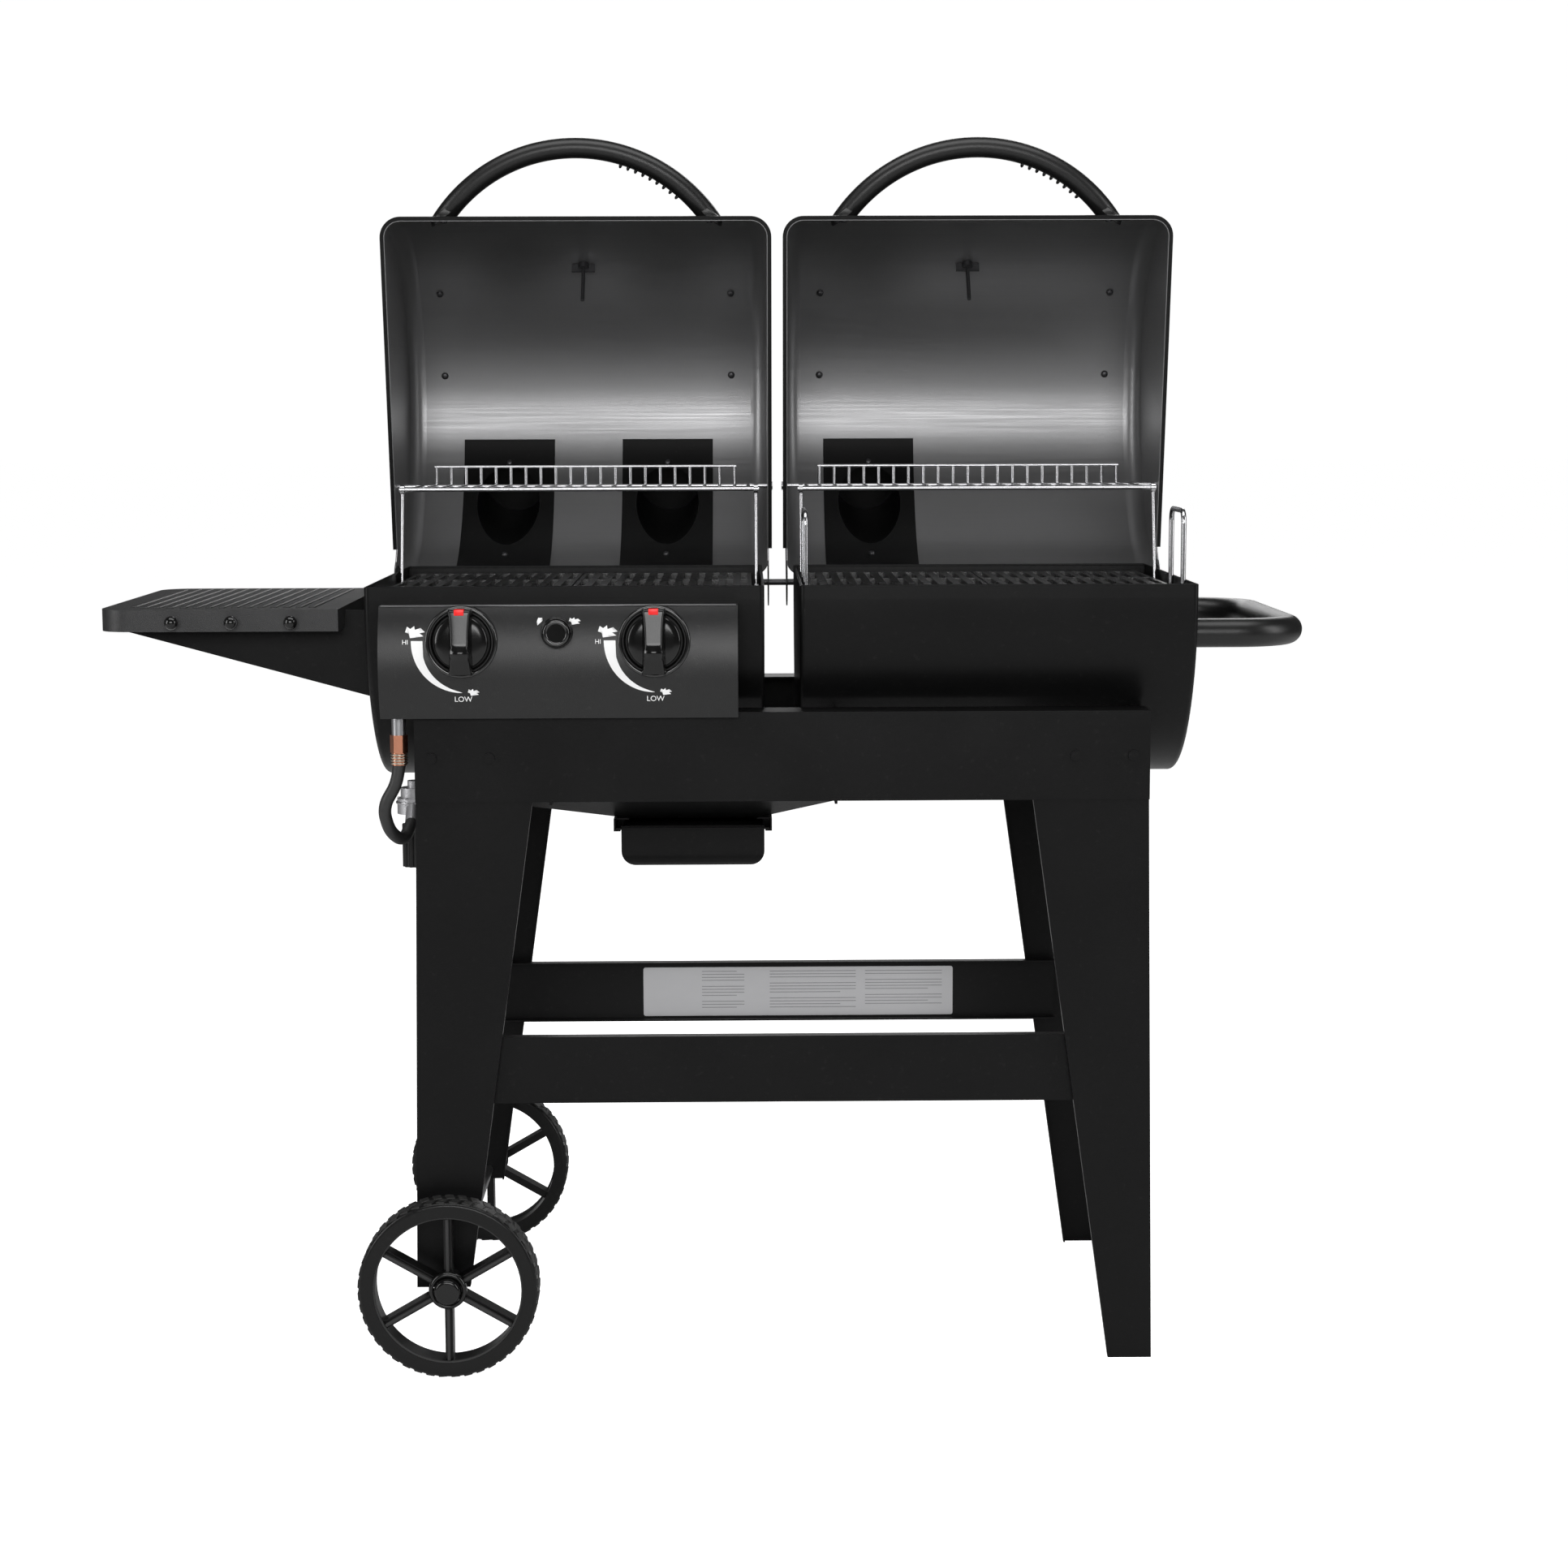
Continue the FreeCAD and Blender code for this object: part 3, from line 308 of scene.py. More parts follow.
def lid_finish(name, paint, sheet):
    """Satin paint outside and dark bare rolled sheet inside, streaked along the barrel."""
    material = coated(name, paint, 0.40, specular=0.2, dust=0.3)
    tree = material.node_tree
    shader = tree.nodes["Principled BSDF"]
    axis = lid_opening() @ Vector((0, 0, LID_AXIS_Z))
    mask = add_group(material, lid_inside_group(), Axis_Y=axis.y, Axis_Z=axis.z, Radius=LID_RADIUS,
                     Middle_X=0.2485, Half_Width=0.2375, Edge=0.022, Depth=0.0008).outputs["Mask"]
    streaks = add_group(material, streak_group(), Roughness=0.38, Amount=0.26)
    for label, kind, bare in (("Base Color", "RGBA", sheet),
                              ("Roughness", "FLOAT", streaks.outputs["Roughness"])):
        painted = shader.inputs[label].links[0].from_socket
        tree.links.new(mix_node(tree, kind, mask, painted, bare), shader.inputs[label])
    bare_metallic = 0.85
    tree.links.new(math_node(tree, "MULTIPLY", mask, bare_metallic), shader.inputs["Metallic"])
    return material


def gauge_glass():
    material = coated("gauge_glass", (0.9, 0.92, 0.92, 1), 0.03, drift=0.0, bump=0.0)
    shader = material.node_tree.nodes["Principled BSDF"]
    shader.inputs["Transmission Weight"].default_value = 1.0
    shader.inputs["IOR"].default_value = 1.45
    return material


def make_materials(colours):
    """All finishes of the grill, by name."""
    return {
        "barrel_paint": coated("barrel_paint", tuple(colours.paint), 0.36, specular=0.15, dust=0.25),
        "lid_sheet": lid_finish("lid_sheet", tuple(colours.paint), tuple(colours.lid_inside)),
        "panel_paint": coated("panel_paint", tuple(colours.panel), 0.36, grain=1500.0, bump=0.3,
                              specular=0.45, dust=0.5),
        "shelf_paint": coated("shelf_paint", (0.014, 0.014, 0.0145, 1), 0.42, grain=1100.0, bump=0.5,
                              specular=0.45, dust=0.9),
        "cast_enamel": coated("cast_enamel", (0.006, 0.006, 0.006, 1), 0.28, grain=700.0, bump=0.35,
                              specular=0.6, coat=0.3),
        "bright_wire": coated("bright_wire", (0.42, 0.42, 0.43, 1), 0.22, metallic=1.0, bump=0.03,
                              lighten=1.15),
        "zinc_plate": coated("zinc_plate", (0.36, 0.36, 0.37, 1), 0.34, metallic=1.0, bump=0.08,
                             lighten=1.3),
        "dark_steel": coated("dark_steel", (0.05, 0.05, 0.052, 1), 0.4, metallic=0.8, bump=0.1),
        "knob_plastic": coated("knob_plastic", (0.003, 0.003, 0.003, 1), 0.16, grain=400.0, bump=0.02,
                               specular=0.35, coat=0.1),
        "bezel_gloss": coated("bezel_gloss", (0.004, 0.004, 0.004, 1), 0.14, grain=400.0, bump=0.02,
                              specular=0.6, coat=0.4),
        "bezel_plastic": coated("bezel_plastic", (0.004, 0.004, 0.004, 1), 0.3, grain=600.0, bump=0.05,
                                specular=0.4),
        "wheel_plastic": coated("wheel_plastic", (0.0035, 0.0035, 0.0035, 1), 0.3, grain=500.0,
                                bump=0.15, specular=0.25, dust=0.3),
        "tread_plastic": coated("tread_plastic", (0.010, 0.010, 0.0098, 1), 0.55, grain=600.0, bump=0.5,
                                specular=0.35, dust=2.0),
        "grip_foam": coated("grip_foam", (0.004, 0.004, 0.004, 1), 0.36, grain=900.0, bump=0.2,
                            specular=0.4),
        "hose_rubber": coated("hose_rubber", (0.012, 0.012, 0.012, 1), 0.5, grain=1200.0, bump=0.3),
        "copper_brass": coated("copper_brass", (0.62, 0.27, 0.17, 1), 0.3, metallic=1.0, bump=0.1,
                               lighten=1.25),
        "ferrule_steel": coated("ferrule_steel", (0.34, 0.3, 0.25, 1), 0.34, metallic=1.0, bump=0.1),
        "cast_zinc": coated("cast_zinc", (0.33, 0.33, 0.34, 1), 0.45, metallic=0.9, grain=500.0,
                            bump=0.5),
        # Lighter, part-metallic grey for the panel's top fold: a painted highlight standing in for the
        # bright line the fold catches on the black panel.
        "painted_highlight_steel": coated("painted_highlight_steel", (0.10, 0.10, 0.102, 1), 0.3, metallic=0.6, bump=0.05),
        "white_print": coated("white_print", tuple(colours.marks), 0.6, lighten=1.05, bump=0.05),
        "red_pointer": coated("red_pointer", tuple(colours.pointer), 0.35, lighten=1.1, bump=0.05),
        "silver_label": coated("silver_label", tuple(colours.label), 0.42, metallic=0.25, bump=0.05,
                               lighten=1.12),
        "grey_print": coated("grey_print", (0.16, 0.16, 0.165, 1), 0.5, bump=0.05),
        "gauge_face": coated("gauge_face", (0.75, 0.75, 0.74, 1), 0.5, lighten=1.05, bump=0.02),
        "gauge_glass": gauge_glass(),
    }


NODE_FINISH = {
    "lid_sheet": ("gas_lid", "charcoal_lid"),
    "panel_paint": ("control_panel",),
    "shelf_paint": ("side_shelf",),
    "cast_enamel": ("gas_cooking_grate_left", "gas_cooking_grate_right", "charcoal_cooking_grate_left",
                    "charcoal_cooking_grate_right", "fire_grate"),
    "bright_wire": ("gas_warming_rack", "charcoal_warming_rack", "fire_grate_lift_handles",
                    "gas_rack_legs", "charcoal_rack_legs"),
    "zinc_plate": ("burner_tubes", "gas_manifold", "wheel_axle"),
    "dark_steel": ("hinge_rod", "hinge_brackets", "grate_ledges", "heat_plates",
                   "gas_thermometer", "charcoal_thermometer", "tool_hooks", "regulator_hook"),
    "knob_plastic": ("left_knob", "right_knob", "igniter_button"),
    "bezel_plastic": ("knob_bezels", "cylinder_handwheel"),
    "wheel_plastic": ("front_wheel", "rear_wheel"),
    "grip_foam": ("gas_lid_handle", "charcoal_lid_handle", "cart_handle"),
    "hose_rubber": ("gas_hose",),
    "copper_brass": ("gas_fittings",),
    "cast_zinc": ("gas_regulator",),
}


class GRILL_OT_finishes(bpy.types.Operator):
    """Make every finish and put it on the CAD nodes"""
    bl_idname = "grill.finishes"
    bl_label = "Finishes"

    def execute(self, context):
        made = make_materials(context.scene.grill_colours)
        finish_of = {node: finish for finish, nodes in NODE_FINISH.items() for node in nodes}
        for name, node in frame["nodes"].items():
            node.data.materials.clear()
            node.data.materials.append(made[finish_of.get(name, "barrel_paint")])
        return {"FINISHED"}


# ------------------------------------------------------------ making pieces


def place(bm, name, body, finish, matrix=None, smooth=True):
    """Turn a bmesh into a finished piece that rides on a body."""
    if matrix is not None:
        bmesh.ops.transform(bm, matrix=matrix, verts=bm.verts)
    bmesh.ops.recalc_face_normals(bm, faces=bm.faces)
    mesh = bpy.data.meshes.new(name)
    bm.to_mesh(mesh)
    bm.free()
    for face in mesh.polygons:
        face.use_smooth = smooth
    mesh.materials.append(bpy.data.materials[finish])
    piece = bpy.data.objects.new(name, mesh)
    bpy.context.scene.collection.objects.link(piece)
    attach(piece, body)
    return piece


def soft_edges(bm, width, segments=2):
    """Round every sharp edge of a bmesh."""
    sharp = [e for e in bm.edges if len(e.link_faces) == 2 and e.calc_face_angle() > SHARP_ANGLE]
    bmesh.ops.bevel(bm, geom=sharp, offset=width, segments=segments, profile=0.5, affect="EDGES",
                    material=-1)


def add_block(bm, low, high):
    """Box between two corners, added to a bmesh. Returns its vertices."""
    low, high = Vector(low), Vector(high)
    scale = Matrix.Diagonal((*(high - low), 1))
    made = bmesh.ops.create_cube(bm, size=1.0, matrix=Matrix.Translation((low + high) / 2) @ scale)
    return made["verts"]


def add_round(bm, centre, direction, radius, height, segments=32, radius_end=None):
    """Cylinder or cone along a direction, from its middle, added to a bmesh."""
    turn = Vector(direction).to_track_quat("Z", "Y").to_matrix().to_4x4()
    end = radius if radius_end is None else radius_end
    bmesh.ops.create_cone(bm, cap_ends=True, cap_tris=False, segments=segments, radius1=radius,
                          radius2=end, depth=height, matrix=Matrix.Translation(centre) @ turn)


def add_ring(bm, profile, centre, axis, segments=64):
    """Closed ring swept from a profile of (radius, height) points about an axis."""
    turn = Vector(axis).to_track_quat("Z", "Y").to_matrix().to_4x4()
    verts = [bm.verts.new((r, 0, h)) for r, h in profile]
    edges = [bm.edges.new((verts[i], verts[(i + 1) % len(verts)])) for i in range(len(verts))]
    bmesh.ops.spin(bm, geom=verts + edges, cent=(0, 0, 0), axis=(0, 0, 1), steps=segments,
                   angle=math.tau, use_merge=True)
    ring, newest = set(), set(verts)
    while newest:
        ring |= newest
        newest = {e.other_vert(v) for v in newest for e in v.link_edges} - ring
    bmesh.ops.transform(bm, matrix=Matrix.Translation(centre) @ turn, verts=list(ring))


class GRILL_OT_treads(bpy.types.Operator):
    """Tyre blocks, hub caps and spoke ribs of both wheels"""
    bl_idname = "grill.treads"
    bl_label = "Wheel treads"

    def execute(self, context):
        sizes = context.scene.grill_sizes
        for body, front in (("front_wheel", -1), ("rear_wheel", 1)):
            low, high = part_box(body)
            centre = middle(body)
            radius = (high[2] - low[2]) / 2
            width = high[1] - low[1]
            self.blocks(body, centre, radius, width, sizes)
            self.ribs(body, centre, radius, width, front)
            self.cap(body, centre, width, front)
        return {"FINISHED"}

    def blocks(self, body, centre, radius, width, sizes):
        """Two offset rows of slanted blocks round the tyre."""
        bm = bmesh.new()
        pitch = math.tau / sizes.tread_blocks
        half_length, half_width, sunk = 0.0050, width * 0.215, 0.003
        row_offset, stagger, slant = width * 0.23, 0.25, 0.22
        for row in (-1, 1):
            y = row * row_offset
            for i in range(sizes.tread_blocks):
                verts = add_block(bm, (-half_length, y - half_width, radius - sunk),
                                  (half_length, y + half_width, radius + sizes.tread_height))
                spin = Matrix.Rotation((i + stagger * row) * pitch, 4, "Y")
                turned = Matrix.Translation(centre) @ spin @ Matrix.Rotation(slant * row, 4, "Z")
                bmesh.ops.transform(bm, matrix=turned, verts=verts)
        soft_edges(bm, 0.0007, 1)
        place(bm, body + "_tread", body, "tread_plastic", smooth=False)

    def ribs(self, body, centre, radius, width, front):
        """Bead round the inside of the rim and a rib down the face of each spoke."""
        bm = bmesh.new()
        face = front * (width / 2 - 0.006)
        axle = JOINTS["front_wheel_spin"]["axis"]
        spokes, half = 6, 0.0018
        for i in range(spokes):
            verts = add_block(bm, (-half, face - 0.0045, 0.018), (half, face + 0.0035, radius - 0.019))
            spin = Matrix.Rotation(i * math.tau / spokes, 4, "Y")
            bmesh.ops.transform(bm, matrix=Matrix.Translation(centre) @ spin, verts=verts)
        soft_edges(bm, 0.0008, 2)
        inner, thick, half = radius - 0.0185, 0.004, 0.0025
        outer = inner + thick
        add_ring(bm, [(inner, -half), (outer, -half), (outer, half), (inner, half)],
                 centre + Vector((0, front * (width / 2 - 0.0035), 0)), axle)
        place(bm, body + "_ribs", body, "wheel_plastic")

    def cap(self, body, centre, width, front):
        """Domed cap over the axle's end."""
        bm = bmesh.new()
        out = Vector((0, front, 0))
        base = centre + out * (width / 2 + 0.0045)
        add_round(bm, base, out, 0.0165, 0.012, 40, 0.014)
        soft_edges(bm, 0.003, 3)
        add_ring(bm, [(0.0165, -0.003), (0.022, -0.003), (0.021, 0.002), (0.0165, 0.004)],
                 centre + out * (width / 2 - 0.001), out, 48)
        place(bm, body + "_hub_cap", body, "knob_plastic")


class GRILL_OT_shelf_ribs(bpy.types.Operator):
    """Raised ribs across the side shelf and balls on its tool hooks"""
    bl_idname = "grill.shelf_ribs"
    bl_label = "Shelf ribs"

    def execute(self, context):
        sizes = context.scene.grill_sizes
        low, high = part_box("side_shelf")
        bm = bmesh.new()
        margin = 0.026
        span = high[0] - low[0] - 2 * margin
        pitch = span / sizes.shelf_ribs
        for i in range(sizes.shelf_ribs):
            x = low[0] + margin + (i + 0.5) * pitch
            half = pitch * 0.27
            short_of_edge = 0.03 if i else 0.045
            add_block(bm, (x - half, low[1] + short_of_edge, high[2] - 0.001),
                      (x + half, high[1] - short_of_edge, high[2] + sizes.rib_height))
        soft_edges(bm, 0.0012, 2)
        place(bm, "shelf_top_ribs", "cart", "shelf_paint")
        self.hook_balls()
        return {"FINISHED"}

    def hook_balls(self):
        low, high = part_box("tool_hooks")
        z = (low[2] + high[2]) / 2
        inset, gaps, radius = 0.0065, 2, 0.0078
        bm = bmesh.new()
        for i in range(gaps + 1):
            x = low[0] + inset + i * (high[0] - low[0] - 2 * inset) / gaps
            bmesh.ops.create_uvsphere(bm, u_segments=24, v_segments=12, radius=radius,
                                      matrix=Matrix.Translation((x, low[1] + 0.004, z)))
        place(bm, "tool_hook_balls", "cart", "knob_plastic")


# ------------------------------------------------------------ control panel print


def panel_surface():
    """Search tree of the panel's own mesh."""
    bm = bmesh.new()
    bm.from_mesh(frame["nodes"]["control_panel"].data)
    tree = BVHTree.FromBMesh(bm)
    bm.free()
    return tree


def wrap_on_panel(bm, lift):
    """Cut flat print, drawn in X and Z, into bands and lay it on the panel's curved face."""
    low = min(v.co.z for v in bm.verts)
    high = max(v.co.z for v in bm.verts)
    band = 0.002
    for i in range(1, int((high - low) / band) + 1):
        bmesh.ops.bisect_plane(bm, geom=bm.verts[:] + bm.edges[:] + bm.faces[:],
                               plane_co=(0, 0, low + i * band), plane_no=(0, 0, 1))
    surface = panel_surface()
    for vert in bm.verts:
        hit = surface.ray_cast(Vector((vert.co.x, -1.0, vert.co.z)), Vector((0, 1, 0)))[0]
        if hit is None:
            raise RuntimeError("print runs off the panel")
        vert.co.y += hit.y - lift


def flat_shape(outline):
    """Thin filled plate from a closed outline of (x, z) points."""
    bm = bmesh.new()
    verts = [bm.verts.new((x, 0, z)) for x, z in outline]
    face = bm.faces.new(verts)
    bmesh.ops.triangulate(bm, faces=[face])
    bmesh.ops.solidify(bm, geom=bm.faces[:], thickness=PRINT_THICKNESS)
    return bm


def crescent(cx, cz):
    """Heat crescent: wide at the left, thin at the bottom."""
    steps, half_width, half_height = 24, 0.056, 0.058
    outer, inner = [], []
    for i in range(steps + 1):
        t = i / steps
        angle = math.radians(180 + 90 * t)
        wide = 0.0125 * (1 - t) ** 0.8 + 0.0004
        for side, inset in ((outer, 0.0), (inner, wide)):
            side.append((cx + (half_width - inset) * math.cos(angle),
                         cz + (half_height - inset) * math.sin(angle)))
    return outer + inner[::-1]


def around(shape, cx, cz, size):
    """Outline drawn on a unit square, scaled and centred on a point."""
    return [(cx + (x - 0.5) * size, cz + (z - 0.5) * size) for x, z in shape]


def flame(cx, cz, size):
    """Small flame with three tongues that lean to the right."""
    shape = [(0.10, 0.00), (0.62, 0.06), (0.50, 0.30), (1.30, 0.16), (0.92, 0.42), (1.42, 0.52),
             (0.80, 0.62), (1.02, 0.88), (0.52, 0.72), (0.46, 1.05), (0.12, 0.80), (-0.18, 1.00),
             (-0.10, 0.62), (-0.34, 0.52), (0.06, 0.36)]
    return around(shape, cx, cz, size)


def spark(cx, cz, size):
    shape = [(0.3, 1), (0.9, 1), (0.6, 0.6), (0.95, 0.6), (0.2, -0.1), (0.45, 0.42), (0.1, 0.42)]
    return around(shape, cx, cz, size)


def word(text, cx, cz, size):
    """Printed word as a thin mesh, standing in the X-Z plane."""
    curve = bpy.data.curves.new(text, "FONT")
    curve.body = text
    curve.size = size
    curve.align_x = "CENTER"
    curve.align_y = "CENTER"
    curve.extrude = PRINT_THICKNESS / 2
    holder = bpy.data.objects.new(text, curve)
    bpy.context.scene.collection.objects.link(holder)
    bpy.context.view_layer.update()
    evaluated = holder.evaluated_get(bpy.context.evaluated_depsgraph_get())
    mesh = bpy.data.meshes.new_from_object(evaluated)
    bm = bmesh.new()
    bm.from_mesh(mesh)
    bpy.data.objects.remove(holder)
    bpy.data.curves.remove(curve)
    bpy.data.meshes.remove(mesh)
    stand = Matrix.Translation((cx, 0, cz)) @ Matrix.Rotation(math.pi / 2, 4, "X")
    bmesh.ops.transform(bm, matrix=stand, verts=bm.verts)
    return bm


class GRILL_OT_panel_print(bpy.types.Operator):
    """Heat crescents, flames, words and igniter marks on the control panel"""
    bl_idname = "grill.panel_print"
    bl_label = "Panel print"

    def execute(self, context):
        lift = context.scene.grill_sizes.print_lift
        for side in ("left", "right"):
            knob = middle(side + "_knob")
            x, z = knob.x, knob.z
            marks = {
                "crescent": flat_shape(crescent(x, z + 0.001)),
                "high_flame": flat_shape(flame(x - 0.052, z + 0.0105, 0.0125)),
                "low_flame": flat_shape(flame(x + 0.0125, z - 0.0565, 0.0075)),
                "high_word": word("HI", x - 0.0625, z - 0.0005, 0.0072),
                "low_word": word("LOW", x + 0.001, z - 0.0645, 0.0085),
            }
            for label, bm in marks.items():
                wrap_on_panel(bm, lift)
                place(bm, side + "_" + label, "cart", "white_print", smooth=False)
        button = middle("igniter_button")
        for label, offset, shape in (("spark_mark", -0.0195, spark), ("lit_mark", 0.0195, flame)):
            bm = flat_shape(shape(button.x + offset, button.z + 0.012, 0.0075))
            wrap_on_panel(bm, lift)
            place(bm, label, "cart", "white_print", smooth=False)
        return {"FINISHED"}


class GRILL_OT_knobs(bpy.types.Operator):
    """Both control knobs with their red pointers, the bezels' lips and the igniter's rings"""
    bl_idname = "grill.knobs"
    bl_label = "Knobs"

    def execute(self, context):
        for side in ("left", "right"):
            low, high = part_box(side + "_knob")
            centre = middle(side + "_knob")
            front = low[1]
            self.skirt(side, centre, front)
            self.grip(side, centre, front, (high[2] - low[2]) / 2)
            self.pointer(side, centre, front, high[2])
            self.bezel_lip(side, centre)
        self.igniter()
        return {"FINISHED"}

    def skirt(self, side, centre, front):
        """Shallow domed disc behind the grip, with its stem."""
        bm = bmesh.new()
        seat = Vector((centre.x, front, centre.z))
        profile = [(0.0285, -0.026), (0.0300, -0.0245), (0.0298, -0.0222), (0.0280, -0.0205),
                   (0.0210, -0.0188), (0.0100, -0.0182), (0.0038, -0.0182), (0.0038, -0.034),
                   (0.0030, -0.034), (0.0030, -0.026)]
        add_ring(bm, profile, seat, (0, -1, 0), 64)
        piece = place(bm, side + "_knob_skirt", side + "_knob", "knob_plastic")
        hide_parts(side + "_knob")

    def grip(self, side, centre, front, half):
        """Bar grip: waisted sides, a long sloped face above and a short one below."""
        half_width, depth, mid_depth = 0.0142, 0.0215, 0.010
        brow, upper_slope, lower_slope = -0.32, 0.0042, 0.0125
        face_width, face_height, flare = 0.86, 0.97, 0.12
        bm = bmesh.new()
        add_block(bm, (-half_width, 0.0, -half), (half_width, depth, half))
        long_edges = [e for e in bm.edges if abs(e.verts[0].co.z - e.verts[1].co.z) > half]
        bmesh.ops.subdivide_edges(bm, edges=long_edges, cuts=15, use_grid_fill=True)
        for vert in bm.verts:
            along = vert.co.z / half
            waist = 0.80 + 0.20 * along ** 2
            if vert.co.y < mid_depth:
                slope = upper_slope if along > brow else lower_slope
                vert.co.y += abs(along - brow) * slope
                vert.co.x *= face_width * waist
                vert.co.z *= face_height
            else:
                vert.co.x *= waist + flare * (1 - abs(along))
        soft_edges(bm, 0.0022, 4)
        seat = Matrix.Translation((centre.x, front, centre.z))
        place(bm, side + "_knob_grip", side + "_knob", "knob_plastic", seat)

    def pointer(self, side, centre, front, top):
        bm = bmesh.new()
        add_block(bm, (centre.x - 0.0054, front + 0.0040, top - 0.0062),
                  (centre.x + 0.0054, front + 0.0150, top + 0.0004))
        soft_edges(bm, 0.0006, 2)
        place(bm, side + "_knob_pointer", side + "_knob", "red_pointer")

    def bezel_lip(self, side, centre):
        """Raised round lip and sloped dish of the bezel."""
        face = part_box("knob_bezels")[0][1]
        bm = bmesh.new()
        add_ring(bm, [(0.0318, 0.0030), (0.0362, -0.0014), (0.0382, -0.0022), (0.0400, -0.0008),
                      (0.0405, 0.0050), (0.0318, 0.0050)],
                 Vector((centre.x, face + 0.0004, centre.z)), (0, 1, 0), 96)
        place(bm, side + "_bezel_lip", "cart", "bezel_gloss")

    def igniter(self):
        """Two stacked rings round the button and a dished face on it."""
        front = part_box("igniter_button")[0][1]
        centre = middle("igniter_button")
        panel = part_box("control_panel")[0][1]
        bm = bmesh.new()
        for radius, back in ((0.0178, 0.0035), (0.0168, -0.0025)):
            add_ring(bm, [(0.0154, -0.0022), (radius - 0.0008, -0.0022), (radius, -0.0008),
                          (radius, 0.0018), (0.0154, 0.0022)],
                     Vector((centre.x, panel + back, centre.z)), (0, 1, 0), 64)
        place(bm, "igniter_collar", "cart", "knob_plastic")
        bm = bmesh.new()
        add_ring(bm, [(0.0098, 0.0004), (0.0118, -0.0010), (0.0138, -0.0008), (0.0148, 0.0006),
                      (0.0149, 0.0030), (0.0098, 0.0030)],
                 Vector((centre.x, front, centre.z)), (0, 1, 0), 64)
        place(bm, "igniter_button_rim", "igniter", "bezel_gloss")


# ------------------------------------------------------------ lids


def thermo_line(side):
    """Start point and outward direction of a lid's thermometer, lid open."""
    closed_angle = math.radians(DIAL_ANGLE)
    out = Vector((0, math.cos(closed_angle), math.sin(closed_angle)))
    axis = Vector((middle(side + "_thermometer").x, 0, LID_AXIS_Z))
    opening = lid_opening()
    return opening @ (axis + out * DIAL_RADIUS), (opening.to_3x3() @ out).normalized()


class GRILL_OT_gauges(bpy.types.Operator):
    """Bezel, face, ticks, needle and glass of both lid thermometers"""
    bl_idname = "grill.gauges"
    bl_label = "Lid thermometers"

    def execute(self, context):
        for side in SIDES:
            point, out = thermo_line(side)
            body = side + "_lid"
            turn = out.to_track_quat("Z", "Y").to_matrix().to_4x4()
            seat = Matrix.Translation(point) @ turn
            bm = bmesh.new()
            add_ring(bm, [(0.0295, 0.0), (0.0300, 0.0045), (0.0325, 0.0052), (0.0350, 0.0030),
                          (0.0352, -0.010), (0.0335, -0.012)], Vector(), (0, 0, 1), 96)
            place(bm, side + "_gauge_bezel", body, "bright_wire", seat)
            bm = bmesh.new()
            add_round(bm, Vector((0, 0, 0.0003)), (0, 0, 1), 0.0300, 0.0006, 64)
            place(bm, side + "_gauge_face", body, "gauge_face", seat, smooth=False)
            self.ticks(side, body, seat)
            bm = bmesh.new()
            add_round(bm, Vector((0, 0, 0.0036)), (0, 0, 1), 0.0299, 0.0012, 64)
            place(bm, side + "_gauge_glass", body, "gauge_glass", seat, smooth=False)
        return {"FINISHED"}

    def ticks(self, side, body, seat):
        bm = bmesh.new()
        count, sweep, needle_angle = 28, 270, 128
        for i in range(count + 1):
            long_tick = i % 4 == 0
            inner = 0.0215 if long_tick else 0.0240
            verts = add_block(bm, (-0.0004, inner, 0.0006), (0.0004, 0.0270, 0.0010))
            angle = math.radians(sweep / 2 - sweep * i / count)
            bmesh.ops.transform(bm, matrix=Matrix.Rotation(angle, 4, "Z"), verts=verts)
        place(bm, side + "_gauge_ticks", body, "bezel_plastic", seat, smooth=False)
        bm = bmesh.new()
        verts = add_block(bm, (-0.0007, -0.005, 0.0012), (0.0007, 0.0205, 0.0018))
        add_round(bm, Vector((0, 0, 0.0016)), (0, 0, 1), 0.0028, 0.0016, 24)
        turn = Matrix.Rotation(math.radians(needle_angle), 4, "Z")
        bmesh.ops.transform(bm, matrix=turn, verts=bm.verts)
        soft_edges(bm, 0.0002, 1)
        place(bm, side + "_gauge_needle", body, "red_pointer", seat)


